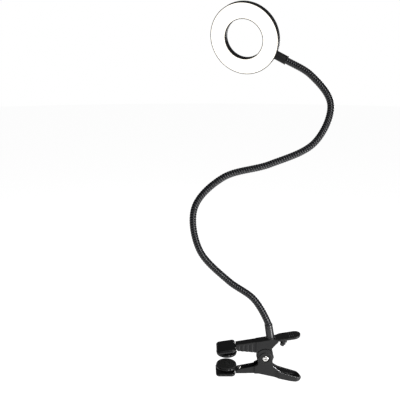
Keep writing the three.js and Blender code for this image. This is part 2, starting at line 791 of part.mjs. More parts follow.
function ledBoard() {
  const top = -5.5;
  const chips = [];
  for (let i = 0; i < CHIPS; i++) {
    const chip = box(-0.7, 0.7, -1.4, 1.4, top - 0.3, top + 0.7);
    chips.push(aroundRing(chip, (2 * Math.PI * i) / CHIPS, RING_MIDDLE - 1));
  }
  return union(tube(RING_INNER + 3.8, RING_OUTER - 5.8, top - 1.1, top, LATHE_SEGMENTS), ...chips);
}

function backScrew(angle) {
  const under = -RING_DEEP - GAP;
  const profile = [
    [0, under - 0.9],
    [1.7, under - 0.9],
    [2.3, under - 0.3],
    [2.3, under],
    [BACK_SCREW_RADIUS, under],
    [BACK_SCREW_RADIUS, -7.1],
    [0, -7.1],
  ];
  return solid(aroundRing(turned(profile, 10), angle, RING_MIDDLE));
}

function alongCollarAxis(geometry) {
  return geometry.rotateY(Math.PI / 2).translate(0, 0, COLLAR_LEVEL);
}

function headCollar() {
  const inside = COLLAR_END - 9;
  const profile = [
    [NECK_BORE, COLLAR_START],
    [COLLAR_RADIUS, COLLAR_START],
    [COLLAR_RADIUS, COLLAR_END - 1.7],
    [NECK_SOCKET, COLLAR_END - 1.7],
    [NECK_SOCKET, inside],
    [NECK_BORE, inside],
  ];
  const shellRoom = tube(RING_OUTER - 2, RING_OUTER + GAP, -30, 30, 72);
  const stud = tube(NECK_BORE, COLLAR_STUD, RING_OUTER - 4, RING_OUTER + 1, 16);
  return minus(solid(alongCollarAxis(ring(profile, 22))), shellRoom).add(solid(alongCollarAxis(stud)));
}

function collarRing() {
  return solid(alongCollarAxis(tube(NECK_SOCKET, 5.9, COLLAR_END - 1.4, COLLAR_END, 22)));
}

function collarNut() {
  const outside = RING_OUTER - RING_WALL - GAP - 0.2;
  return minus(
    solid(alongCollarAxis(peg(3.3, outside - 1.8, outside, 6).rotateZ(Math.PI / 6))),
    alongCollarAxis(peg(COLLAR_STUD + GAP, outside - 3, outside + 2, 14)),
  );
}

// ---------------------------------------------------------------- assembly

const lamp = new THREE.Group();
const lowered = (manifold) => solid(asLower(geometryOf(manifold)));

place(lamp, "upper_arm", upperArm(), black);
place(lamp, "lower_arm", lowerArm(), black);
place(lamp, "pivot_screw", pivotScrew(), steel);
place(lamp, "pivot_nut", pivotNut(), steel);
place(lamp, "pivot_sleeve", pivotSleeve(), steel);
place(lamp, "torsion_spring", torsionSpring(), spring);

place(lamp, "upper_jaw_plate", jawPlate(JAW_TOP, ARM_TILT, UPPER_TONGUE), black);
place(lamp, "upper_jaw_screw", solid(tongueScrew(ARM_TILT, UPPER_TONGUE)), steel);
place(lamp, "upper_foot_pin", footPin(), steel);
place(lamp, "upper_foot", footBody(), gloss);
place(lamp, "upper_foot_sole", footSole(), rubber);
place(lamp, "lower_jaw_plate", lowered(jawPlate(LOWER_JAW_TOP, 0, LOWER_TONGUE)), black);
place(lamp, "lower_jaw_screw", solid(asLower(tongueScrew(0, LOWER_TONGUE))), steel);
place(lamp, "lower_foot_pin", lowered(footPin()), steel);
place(lamp, "lower_foot", lowered(footBody()), gloss);
place(lamp, "lower_foot_sole", lowered(footSole()), rubber);

place(lamp, "neck_ferrule", ferrule(), black);
place(lamp, "ferrule_nut", ferruleNut(), steel);
place(lamp, "cord_gland", cordGland(), gloss);

const ferruleSocket = FIRST_JOINT_AT - 1 - 0.95;
const lastLength = neckJoints.length;
const NECK_STEPS = 7;
for (let i = 0; i <= lastLength; i++) {
  const a = i === 0 ? ferruleSocket : FIRST_JOINT_AT + i - 1;
  const b = i === lastLength ? beyond(FIRST_JOINT_AT + i, COLLAR_GRIP) : FIRST_JOINT_AT + i;
  const steps = i === lastLength ? 4 : NECK_STEPS;
  place(lamp, `gooseneck_${i + 1}`, neckLength(a, b, i > 0, i < lastLength, steps), neckBlack);
}
place(lamp, "inner_lead", innerLead(), wire);

place(head, "head_rear_shell", rearShell(), black);
place(head, "outer_rim", rim(RING_OUTER - RIM_WIDE, RING_OUTER), black);
place(head, "inner_rim", rim(RING_INNER, RING_INNER + RIM_WIDE), black);
place(head, "diffuser", diffuser(), glow);
place(head, "reflector_tray", reflector(), white);
place(head, "led_board", ledBoard(), boardWhite);
screwAngles.forEach((angle, i) => place(head, `back_screw_${i + 1}`, backScrew(angle), steel));
place(head, "head_collar", headCollar(), black);
place(head, "collar_ring", collarRing(), gloss);
place(head, "collar_nut", collarNut(), steel);
lamp.add(head);

export default lamp;
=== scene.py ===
"""Looks of the clip-on ring reading lamp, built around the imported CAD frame.

Blender works in metres. The shapes below are in millimetres, in the frame's own axes: +Z up, +X from the
jaws to the finger levers, +Y away from the lamp's front.
"""

import json
import math

import bmesh
import bpy
from mathutils import Matrix, Vector


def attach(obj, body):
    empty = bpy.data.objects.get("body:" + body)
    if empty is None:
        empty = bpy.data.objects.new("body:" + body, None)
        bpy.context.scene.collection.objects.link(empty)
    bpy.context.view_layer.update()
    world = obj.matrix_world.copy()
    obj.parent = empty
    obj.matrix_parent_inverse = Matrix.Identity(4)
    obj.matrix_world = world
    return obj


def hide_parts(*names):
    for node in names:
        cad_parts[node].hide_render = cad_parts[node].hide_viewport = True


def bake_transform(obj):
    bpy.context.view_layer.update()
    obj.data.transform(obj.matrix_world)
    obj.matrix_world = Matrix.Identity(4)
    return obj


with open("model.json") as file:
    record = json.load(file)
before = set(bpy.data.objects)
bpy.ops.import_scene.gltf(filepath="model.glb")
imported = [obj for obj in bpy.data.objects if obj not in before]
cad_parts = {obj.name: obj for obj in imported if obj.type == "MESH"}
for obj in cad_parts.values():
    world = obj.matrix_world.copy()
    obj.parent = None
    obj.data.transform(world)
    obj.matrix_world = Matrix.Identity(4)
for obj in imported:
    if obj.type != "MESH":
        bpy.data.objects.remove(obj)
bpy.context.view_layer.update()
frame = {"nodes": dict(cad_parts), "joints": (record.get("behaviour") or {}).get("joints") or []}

MM = 0.001
joints = {j["name"]: j for j in frame["joints"]}


def joint_at(name):
    return Vector(joints[name]["pos_m"]) / MM


# ---------------------------------------------------------------- camera, floor and light

CAMERA_PLACE = Vector((-34.2, -644.7, 370.5))
CAMERA_WAY = Vector((0, 0.968148, -0.250380))
CAMERA_UP = Vector((0, 0.250380, 0.968148))
LENS, SENSOR = 50, 36
FLOOR_LEVEL = -0.16
FLOOR_RADIUS, DOME_RADIUS = 6, 5.9


def make_camera():
    data = bpy.data.cameras.new("camera")
    data.lens = LENS
    data.sensor_width = SENSOR
    camera = bpy.data.objects.new("camera", data)
    bpy.context.scene.collection.objects.link(camera)
    turn = Matrix((CAMERA_WAY.cross(CAMERA_UP), CAMERA_UP, -CAMERA_WAY)).transposed().to_4x4()
    camera.matrix_world = Matrix.Translation(CAMERA_PLACE * MM) @ turn
    bpy.context.scene.camera = camera


make_camera()


def node_material(name):
    material = bpy.data.materials.new(name)
    material.use_nodes = True
    nodes = material.node_tree.nodes
    nodes.clear()
    output = nodes.new("ShaderNodeOutputMaterial")
    return material, nodes, material.node_tree.links, output


def make_stage():
    """A pale floor that glows in reflections, and a white backdrop that only the camera sees."""
    floor_material, nodes, links, output = node_material("floor_paper")
    paper = nodes.new("ShaderNodeBsdfDiffuse")
    paper.inputs["Color"].default_value = (0.35, 0.35, 0.35, 1)
    glow = nodes.new("ShaderNodeEmission")
    glow.inputs["Strength"].default_value = 0.95
    both = nodes.new("ShaderNodeAddShader")
    links.new(paper.outputs[0], both.inputs[0])
    links.new(glow.outputs[0], both.inputs[1])
    links.new(both.outputs[0], output.inputs[0])
    bpy.ops.mesh.primitive_circle_add(vertices=64, radius=FLOOR_RADIUS, fill_type="NGON",
                                      location=(0, 0, FLOOR_LEVEL))
    floor = bpy.context.object
    floor.name = "floor"
    floor.data.materials.append(floor_material)
    floor.visible_diffuse = False

    wall_material, nodes, links, output = node_material("backdrop_white")
    glow = nodes.new("ShaderNodeEmission")
    glow.inputs["Color"].default_value = (1, 1, 1, 1)
    glow.inputs["Strength"].default_value = 1.0
    links.new(glow.outputs[0], output.inputs[0])
    bpy.ops.mesh.primitive_uv_sphere_add(segments=48, ring_count=24, radius=DOME_RADIUS,
                                         location=(0, 0, FLOOR_LEVEL))
    dome = bpy.context.object
    dome.name = "backdrop"
    dome.data.materials.append(wall_material)
    for ray in ("diffuse", "glossy", "transmission", "volume_scatter", "shadow"):
        setattr(dome, "visible_" + ray, False)


def make_light(name, place, size, power, target=(40, 40, 180)):
    data = bpy.data.lights.new(name, "AREA")
    data.shape = "RECTANGLE"
    data.size, data.size_y = size
    data.energy = power
    light = bpy.data.objects.new(name, data)
    bpy.context.scene.collection.objects.link(light)
    way = (Vector(target) - Vector(place)) * MM
    turn = way.to_track_quat("-Z", "Y").to_matrix().to_4x4()
    light.matrix_world = Matrix.Translation(Vector(place) * MM) @ turn


def make_world():
    world = bpy.data.worlds.new("studio")
    bpy.context.scene.world = world
    world.use_nodes = True
    back = world.node_tree.nodes["Background"]
    back.inputs["Color"].default_value = (1, 1, 1, 1)
    back.inputs["Strength"].default_value = 0.07


make_stage()
make_world()
make_light("key", (520, -980, 720), (0.22, 0.8), 9)
make_light("side", (390, -250, -20), (0.1, 0.22), 1.6, (60, 0, 50))
make_light("top", (0, 0, 1500), (0.8, 0.8), 3)
make_light("rim", (690, 1220, 320), (0.25, 0.25), 3, (85, 0, 0))
bpy.context.scene.view_settings.view_transform = "Standard"


# ---------------------------------------------------------------- materials

def object_coordinates(nodes):
    return nodes.new("ShaderNodeTexCoord").outputs["Object"]


def noise(nodes, links, where, scale, detail=3.0, roughness=0.5):
    texture = nodes.new("ShaderNodeTexNoise")
    texture.inputs["Scale"].default_value = scale
    texture.inputs["Detail"].default_value = detail
    texture.inputs["Roughness"].default_value = roughness
    links.new(where, texture.inputs["Vector"])
    return texture.outputs["Fac"]


def remap(nodes, links, value, low, high, from_low=0.3, from_high=0.7):
    node = nodes.new("ShaderNodeMapRange")
    node.inputs["From Min"].default_value = from_low
    node.inputs["From Max"].default_value = from_high
    node.inputs["To Min"].default_value = low
    node.inputs["To Max"].default_value = high
    links.new(value, node.inputs["Value"])
    return node.outputs[0]


def mix_color(nodes, links, factor, first, second):
    node = nodes.new("ShaderNodeMix")
    node.data_type = "RGBA"
    links.new(factor, node.inputs["Factor"])
    for socket, value in ((node.inputs[6], first), (node.inputs[7], second)):
        if isinstance(value, bpy.types.NodeSocket):
            links.new(value, socket)
        else:
            socket.default_value = (*value, 1)
    return node.outputs[2]


def bump(nodes, links, height, depth, strength=1.0, under=None):
    node = nodes.new("ShaderNodeBump")
    node.inputs["Strength"].default_value = strength
    node.inputs["Distance"].default_value = depth
    links.new(height, node.inputs["Height"])
    if under is not None:
        links.new(under, node.inputs["Normal"])
    return node.outputs[0]


def surface(name, dark, light, rough, grain=(2600, 0.00005), wear=0.0, worn=(0.1, 0.1, 0.1), **fixed):
    """A dielectric or metal whose colour, roughness and fine grain vary over the surface."""
    material, nodes, links, output = node_material(name)
    shader = nodes.new("ShaderNodeBsdfPrincipled")
    where = object_coordinates(nodes)
    broad = noise(nodes, links, where, 70, 4)
    colour = mix_color(nodes, links, broad, dark, light)
    if wear:
        edge = nodes.new("ShaderNodeNewGeometry").outputs["Pointiness"]
        rubbed = remap(nodes, links, edge, 0, wear, 0.52, 0.62)
        colour = mix_color(nodes, links, rubbed, colour, worn)
    links.new(colour, shader.inputs["Base Color"])
    smudge = noise(nodes, links, where, 210, 5, 0.6)
    links.new(remap(nodes, links, smudge, rough[0], rough[1]), shader.inputs["Roughness"])
    fine = noise(nodes, links, where, grain[0], 2)
    coarse = noise(nodes, links, where, grain[0] / 3, 2)
    normal = bump(nodes, links, fine, grain[1])
    links.new(bump(nodes, links, coarse, grain[1], 0.6, normal), shader.inputs["Normal"])
    for socket, value in fixed.items():
        shader.inputs[socket.replace("_", " ")].default_value = value
    links.new(shader.outputs[0], output.inputs[0])
    return material


def brushed(name, dark, light, rough, axis_scale, **fixed):
    """Bright metal with fine turned or drawn lines."""
    material, nodes, links, output = node_material(name)
    shader = nodes.new("ShaderNodeBsdfPrincipled")
    shader.inputs["Metallic"].default_value = 1.0
    stretch = nodes.new("ShaderNodeMapping")
    stretch.inputs["Scale"].default_value = axis_scale
    links.new(object_coordinates(nodes), stretch.inputs["Vector"])
    lines = noise(nodes, links, stretch.outputs[0], 900, 4)
    links.new(mix_color(nodes, links, lines, dark, light), shader.inputs["Base Color"])
    links.new(remap(nodes, links, lines, rough[0], rough[1]), shader.inputs["Roughness"])
    links.new(bump(nodes, links, lines, 0.00001), shader.inputs["Normal"])
    for socket, value in fixed.items():
        shader.inputs[socket.replace("_", " ")].default_value = value
    links.new(shader.outputs[0], output.inputs[0])
    return material


def lit_diffuser(centre, inner, outer):
    """Opal plastic lit from behind: white all over, a trace warmer and dimmer along its two edges."""
    material, nodes, links, output = node_material("diffuser_opal")
    shader = nodes.new("ShaderNodeBsdfPrincipled")
    shader.inputs["Base Color"].default_value = (0.93, 0.93, 0.91, 1)
    shader.inputs["Subsurface Weight"].default_value = 0.0
    where = object_coordinates(nodes)
    away = nodes.new("ShaderNodeVectorMath")
    away.operation = "DISTANCE"
    away.inputs[1].default_value = centre
    links.new(where, away.inputs[0])
    middle, half = (inner + outer) / 2, (outer - inner) / 2
    across = nodes.new("ShaderNodeMath")
    across.operation = "SUBTRACT"
    across.inputs[1].default_value = middle
    links.new(away.outputs["Value"], across.inputs[0])
    offset = nodes.new("ShaderNodeMath")
    offset.operation = "ABSOLUTE"
    links.new(across.outputs[0], offset.inputs[0])
    edge = remap(nodes, links, offset.outputs[0], 0, 1, half * 0.72, half)
    tint = mix_color(nodes, links, edge, (1, 0.995, 0.98), (1, 0.93, 0.8))
    links.new(tint, shader.inputs["Emission Color"])
    cloud = noise(nodes, links, where, 45, 2)
    glow = remap(nodes, links, cloud, 1.02, 1.1)
    dim = nodes.new("ShaderNodeMath")
    dim.operation = "MULTIPLY_ADD"
    dim.inputs[1].default_value = -0.14
    links.new(edge, dim.inputs[0])
    links.new(glow, dim.inputs[2])
    links.new(dim.outputs[0], shader.inputs["Emission Strength"])
    grain = noise(nodes, links, where, 3200, 2)
    links.new(remap(nodes, links, grain, 0.38, 0.5), shader.inputs["Roughness"])
    links.new(bump(nodes, links, grain, 0.00002), shader.inputs["Normal"])
    links.new(shader.outputs[0], output.inputs[0])
    return material


clip_black = surface("clip_black", (0.006, 0.006, 0.0065), (0.011, 0.011, 0.0115), (0.36, 0.5),
                     grain=(2400, 0.00006), wear=0.25, worn=(0.035, 0.035, 0.036), Specular_IOR_Level=0.32)
beam_black = surface("jaw_black", (0.005, 0.005, 0.0055), (0.009, 0.009, 0.0095), (0.3, 0.42),
                     grain=(3000, 0.00003), wear=0.2, worn=(0.03, 0.03, 0.03), Specular_IOR_Level=0.32)
foot_black = surface("foot_black", (0.004, 0.004, 0.0045), (0.006, 0.006, 0.0065), (0.1, 0.18),
                     grain=(1500, 0.00001), Specular_IOR_Level=0.5)
sole_rubber = surface("sole_rubber", (0.012, 0.012, 0.012), (0.025, 0.025, 0.024), (0.75, 0.92),
                      grain=(1800, 0.0001), Specular_IOR_Level=0.3)
neck_black = surface("neck_black", (0.005, 0.0055, 0.0075), (0.009, 0.0095, 0.012), (0.2, 0.3),
                     grain=(1600, 0.00002), wear=0.2, worn=(0.03, 0.03, 0.034), Specular_IOR_Level=0.42)
ferrule_black = surface("ferrule_black", (0.006, 0.006, 0.007), (0.01, 0.01, 0.011), (0.22, 0.32),
                        grain=(2200, 0.00002), Specular_IOR_Level=0.5)
head_black = surface("head_black", (0.006, 0.006, 0.0065), (0.011, 0.011, 0.0115), (0.46, 0.58),
                     grain=(2600, 0.00005), wear=0.2, worn=(0.03, 0.03, 0.03), Specular_IOR_Level=0.22)
lead_black = surface("lead_black", (0.01, 0.01, 0.011), (0.018, 0.018, 0.019), (0.45, 0.6),
                     grain=(1500, 0.00003))
tray_white = surface("tray_white", (0.8, 0.8, 0.78), (0.88, 0.88, 0.86), (0.5, 0.6))
board_white = surface("board_white", (0.74, 0.77, 0.73), (0.82, 0.84, 0.8), (0.4, 0.5))
steel = brushed("steel", (0.62, 0.61, 0.59), (0.86, 0.85, 0.83), (0.16, 0.3), (1, 1, 6))
spring_steel = brushed("spring_steel", (0.3, 0.3, 0.31), (0.5, 0.5, 0.51), (0.25, 0.4), (6, 1, 1))
collar_gloss = surface("collar_gloss", (0.004, 0.004, 0.0045), (0.006, 0.006, 0.0065), (0.06, 0.12),
                       grain=(1500, 0.00001), Specular_IOR_Level=0.6)


# ---------------------------------------------------------------- mesh tools

SHARP = math.radians(34)


def finish_mesh(mesh, sharp=SHARP):
    """Smooth shading, with an edge kept crisp where two faces meet at more than the sharp angle."""
    bm = bmesh.new()
    bm.from_mesh(mesh)
    bmesh.ops.recalc_face_normals(bm, faces=bm.faces)
    for face in bm.faces:
        face.smooth = True
    for edge in bm.edges:
        edge.smooth = len(edge.link_faces) != 2 or edge.calc_face_angle(0) < sharp
    bm.to_mesh(mesh)
    bm.free()
    mesh.update()


def make_object(name, points, faces, matrix=Matrix.Identity(4)):
    """A mesh object from points in millimetres, put through the matrix."""
    mesh = bpy.data.meshes.new(name)
    mesh.from_pydata([(matrix @ Vector(p)) * MM for p in points], [], faces)
    piece = bpy.data.objects.new(name, mesh)
    bpy.context.scene.collection.objects.link(piece)
    finish_mesh(mesh)
    return piece


def rounded(points, radius, steps=3, closed=True):
    """The outline with each corner taken off by a small curve."""
    out = []
    count = len(points)
    for i, corner in enumerate(points):
        here = Vector(corner)
        if not closed and i in (0, count - 1):
            out.append(tuple(here))
            continue
        before = Vector(points[i - 1]) - here
        after = Vector(points[(i + 1) % count]) - here
        if before.length < 1e-6 or after.length < 1e-6 or before.angle(after) > math.radians(168):
            out.append(tuple(here))
            continue
        cut = min(radius, before.length * 0.45, after.length * 0.45)
        start = here + before.normalized() * cut
        end = here + after.normalized() * cut
        for k in range(steps + 1):
            t = k / steps
            out.append(tuple(start * (1 - t) ** 2 + here * 2 * t * (1 - t) + end * t ** 2))
    return out


def arc(x, z, radius, start, end, steps):
    return [(x + radius * math.cos(start + (end - start) * i / steps),
             z + radius * math.sin(start + (end - start) * i / steps)) for i in range(steps + 1)]


def curve_to(start, control, end, steps=8):
    a, b, c = Vector(start), Vector(control), Vector(end)
    shares = (i / steps for i in range(1, steps + 1))
    return [tuple(a * (1 - t) ** 2 + b * 2 * t * (1 - t) + c * t ** 2) for t in shares]


def loft(name, rings, matrix=Matrix.Identity(4)):
    """A skin through rings with the same count of points. Caps close the first and the last ring."""
    count = len(rings[0])
    points = [p for ring in rings for p in ring]
    faces = []
    for i in range(len(rings) - 1):
        a, b = i * count, (i + 1) * count
        for k in range(count):
            n = (k + 1) % count
            faces.append((a + k, a + n, b + n, b + k))
    faces.append(tuple(reversed(range(count))))
    faces.append(tuple(range((len(rings) - 1) * count, len(rings) * count)))
    return make_object(name, points, faces, matrix)


def prism(outline, low, high, matrix=Matrix.Identity(4), edge=0.0):
    """An outline of X and Z filled through Y from low to high, with its rims eased by edge."""
    if not edge:
        rings = [[(x, y, z) for x, z in outline] for y in (low, high)]
    else:
        eased = shrunk(outline, edge)
        rings = [[(x, low, z) for x, z in eased], [(x, low + edge, z) for x, z in outline],
                 [(x, high - edge, z) for x, z in outline], [(x, high, z) for x, z in eased]]
    return loft("part", rings, matrix)


def shrunk(outline, by):
    """The outline moved in by a small distance along its corner normals."""
    area = sum(a[0] * b[1] - b[0] * a[1] for a, b in zip(outline, outline[1:] + outline[:1]))
    side = 1 if area > 0 else -1
    out = []
    for i, corner in enumerate(outline):
        here = Vector(corner)
        before = (here - Vector(outline[i - 1])).normalized()
        after = (Vector(outline[(i + 1) % len(outline)]) - here).normalized()
        normal = Vector((-(before.y + after.y), before.x + after.x)).normalized() * side
        spread = max(0.5, (1 + before.dot(after)) / 2) ** 0.5
        out.append(tuple(here + normal * by / spread))
    return out


def block(x0, x1, y0, y1, z0, z1, matrix=Matrix.Identity(4)):
    return prism([(x0, z0), (x1, z0), (x1, z1), (x0, z1)], y0, y1, matrix)


def lathe(name, profile, segments=64, matrix=Matrix.Identity(4)):
    """A closed profile of (radius, height) turned about Z. Points on the axis close the shape there."""
    points, rows = [], []
    for radius, height in profile:
        if radius < 1e-6:
            rows.append([len(points)] * segments)
            points.append((0, 0, height))
            continue
        rows.append(list(range(len(points), len(points) + segments)))
        for k in range(segments):
            angle = 2 * math.pi * k / segments
            points.append((radius * math.cos(angle), radius * math.sin(angle), height))
    faces = []
    for a, b in zip(rows, rows[1:] + rows[:1]):
        for k in range(segments):
            n = (k + 1) % segments
            corners = list(dict.fromkeys((a[k], a[n], b[n], b[k])))
            if len(corners) > 2:
                faces.append(corners)
    return make_object(name, points, faces, matrix)


def turned(name, profile, edge=0.3, segments=64, matrix=Matrix.Identity(4), steps=3):
    """A lathe whose corners off the axis are rounded. A profile that starts on the axis also ends there."""
    hollow = profile[0][0] > 1e-6
    return lathe(name, rounded(profile, edge, steps, closed=hollow), segments, matrix)


def rod(radius, low, high, matrix, segments=48):
    return lathe("part", [(0, low), (radius, low), (radius, high), (0, high)], segments, matrix)


def applied(piece):
    """Replaces the object's mesh with what its modifiers make."""
    graph = bpy.context.evaluated_depsgraph_get()
    mesh = bpy.data.meshes.new_from_object(piece.evaluated_get(graph))
    piece.modifiers.clear()
    piece.data = mesh
    return piece


def combine(piece, steps):
    """Adds, cuts and keeps the overlap of parts in turn, by "+", "-" and "&". The parts are used up."""
    kinds = {"+": "UNION", "-": "DIFFERENCE", "&": "INTERSECT"}
    for sign, part in steps:
        modifier = piece.modifiers.new("step", "BOOLEAN")
        modifier.operation = kinds[sign]
        modifier.solver = "EXACT"
        modifier.object = part
        bpy.context.view_layer.update()
        applied(piece)
        bpy.data.objects.remove(part)
    finish_mesh(piece.data)
    return piece


def moulded(piece, voxel, passes):
    """Turns the shape into a fine even skin with its edges and inner corners softened, as on a moulding."""
    remesh = piece.modifiers.new("skin", "REMESH")
    remesh.mode = "VOXEL"
    remesh.voxel_size = voxel * MM
    soften = piece.modifiers.new("soften", "SMOOTH")
    soften.factor = 0.5
    soften.iterations = passes
    applied(piece)
    finish_mesh(piece.data, math.radians(60))
    return piece


def finished(piece, name, body, slot, material, *nodes):
    piece.name = name
    piece.data.name = name
    piece.data.materials.clear()
    piece.data.materials.append(material)
    if nodes:
        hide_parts(*nodes)
    if body:
        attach(piece, body)
    return piece


# ---------------------------------------------------------------- the clip's measures, as in the CAD

PIVOT = joint_at("clip_pivot")
BOARD = 15
TOP_RISE = 0.17
TILT = math.atan(TOP_RISE)
ARM_HALF, BEAM_HALF = 6, 5.2
EAR_IN, EAR_OUT, EAR_RADIUS = 2.7, 4.4, 11
CHEEK_IN, CHEEK_OUT = 4.7, 6.6
ARCH_RADIUS, ARCH_HALF = 13, 9.3
BOSS_RADIUS, BOSS_FACE, SEAT = 8.4, 7.5, 5.7
SCREW_SEAT_RADIUS, NUT_SEAT_RADIUS = 4.7, 4.5
PIVOT_BORE = 2.3
CHEEK_ROOM_HALF, BEAM_ROOM_HALF = 4.3, 3.9
BEAM_START, CHEEK_START, LEVER_TIP, LEVER_THICK = 11.6, 37.3, 94, 3
LOWER_TIP = 97.5
PAD_HALF, PAD_START = 8.6, 68
FERRULE_X, GLAND_X = 56, 75.5
FERRULE_LONG = 19.4
PLATE_THICK = 2
PIN_HEIGHT, PIN_RADIUS, PIN_BORE = 5.6, 1.0, 1.15
LEAD_RADIUS = 0.75
GAP = 0.3


def top_at(x):
    return 12 + TOP_RISE * x


def square_to_arm(x):
    """The place on the upper arm's top face at x, with its Z square to the face."""
    return Matrix.Translation((x, 0, top_at(x))) @ Matrix.Rotation(-TILT, 4, "Y")


TURN_OVER = Matrix.Translation((0, 0, -BOARD)) @ Matrix.Rotation(math.pi, 4, "X")
ACROSS = Matrix.Translation(PIVOT) @ Matrix.Rotation(math.pi / 2, 4, "X")


def bezier(points, steps=8):
    a, b, c, d = (Vector(p) for p in points)
    out = []
    for i in range(steps + 1):
        t = i / steps
        out.append(tuple(a * (1 - t) ** 3 + b * 3 * t * (1 - t) ** 2 + c * 3 * t * t * (1 - t) + d * t ** 3))
    return out


def lever_plan(start, tip, half, pad_half):
    """The plan of a lever: straight sides that flare into a finger pad with a rounded tip."""
    flare = PAD_START - 7
    side = bezier([(flare, half), (flare + 4, half), (PAD_START - 3, pad_half), (PAD_START + 2, pad_half)])
    near = [(start, -half)] + [(x, -y) for x, y in side]
    round_tip = arc(tip - pad_half, 0, pad_half, -math.pi / 2, math.pi / 2, 28)
    outline = near + round_tip + side[::-1] + [(start, half)]
    return loft("part", [[(x, y, z) for x, y in outline] for z in (-60, 60)])


def disc(radius, low, high, segments=72):
    return rod(radius, -high, -low, ACROSS, segments)


# ---------------------------------------------------------------- upper arm

FLUTES = (17.2, 22.8, 28.4, 34)
FLUTE_RADIUS, FLUTE_DEEP = 2.4, 0.5
GRIP_GROOVES = (80, 82.6, 85.2)


def upper_arm():
    t = LEVER_THICK
    cheek = [(CHEEK_START, 3.4), (CHEEK_START, top_at(CHEEK_START)), (LEVER_TIP, top_at(LEVER_TIP)),
             (LEVER_TIP, top_at(LEVER_TIP) - t), (71.5, top_at(71.5) - t)]
    cheek += curve_to((71.5, top_at(71.5) - t), (66.5, top_at(66.5) - t), (57.6, 8.6)) + [(57.6, 3)]
    beam = [(BEAM_START, top_at(BEAM_START)), (BEAM_START, 8.2), (14.6, 5.2), (38.5, 3), (38.5, top_at(38.5))]
    pad = [(60, top_at(60)), (60, top_at(60) - t), (LEVER_TIP, top_at(LEVER_TIP) - t),
           (LEVER_TIP, top_at(LEVER_TIP))]

    def under(start, end):
        return [(start, -20), (start, top_at(start) - PLATE_THICK), (end, top_at(end) - PLATE_THICK),
                (end, -20)]

    web = [(38.9, PIVOT.z), (38.9, 14.4), (62, 14.4), (58, 8.6), (60.6, PIVOT.z)]
    wall = 1.7
    pad_room = combine(prism(under(62, LEVER_TIP), -PAD_HALF, PAD_HALF),
                       [("&", lever_plan(30, LEVER_TIP - wall, CHEEK_ROOM_HALF, PAD_HALF - wall))])
    arm = prism(cheek, -ARM_HALF, ARM_HALF)
    steps = [
        ("+", prism(pad, -PAD_HALF, PAD_HALF)),
        ("&", lever_plan(CHEEK_START - 1, LEVER_TIP, ARM_HALF, PAD_HALF)),
        ("+", prism(beam, -BEAM_HALF, BEAM_HALF)),
        ("+", rod(ARM_HALF, -1, 1.2, square_to_arm(FERRULE_X))),
        ("-", pad_room),
        ("-", prism(under(38.5, 80), -CHEEK_ROOM_HALF, CHEEK_ROOM_HALF)),
        ("-", prism(under(10.6, 39), -BEAM_ROOM_HALF, BEAM_ROOM_HALF)),
        ("-", disc(ARCH_RADIUS + 0.4, EAR_OUT, ARM_HALF + 1)),
        ("-", disc(ARCH_RADIUS + 0.4, -ARM_HALF - 1, -EAR_OUT)),
    ]
    for low in (EAR_IN, -EAR_OUT):
        high = low + EAR_OUT - EAR_IN
        steps += [("+", disc(EAR_RADIUS, low, high)), ("+", prism(web, low, high))]
    steps += [
        ("-", disc(PIVOT_BORE, -ARM_HALF, ARM_HALF, 32)),
        ("-", rod(2.7, -6, 3, square_to_arm(FERRULE_X), 32)),
        ("-", rod(2.4, -4, -0.7, square_to_arm(GLAND_X), 32)),
    ]
    for x in FLUTES:
        for side in (-1, 1):
            place = Matrix.Translation((x, side * (BEAM_HALF + FLUTE_RADIUS - FLUTE_DEEP), 0))
            steps.append(("-", rod(FLUTE_RADIUS, 1, top_at(x) - 2.2, place, 40)))
    for x in GRIP_GROOVES:
        groove = Matrix.Translation((x, 0, top_at(x) + 0.45)) @ Matrix.Rotation(math.pi / 2, 4, "X")
        steps.append(("-", rod(0.7, -6, 6, groove, 20)))
    combine(arm, steps)
    moulded(arm, 0.3, 3)
    finished(arm, "upper_arm_moulded", "clip_upper", "clip_black", clip_black, "upper_arm")


# ---------------------------------------------------------------- lower arm

def under_at(x):
    """The underside of the lower lever."""
    return -26.2 - 0.236 * (x - 41.2)


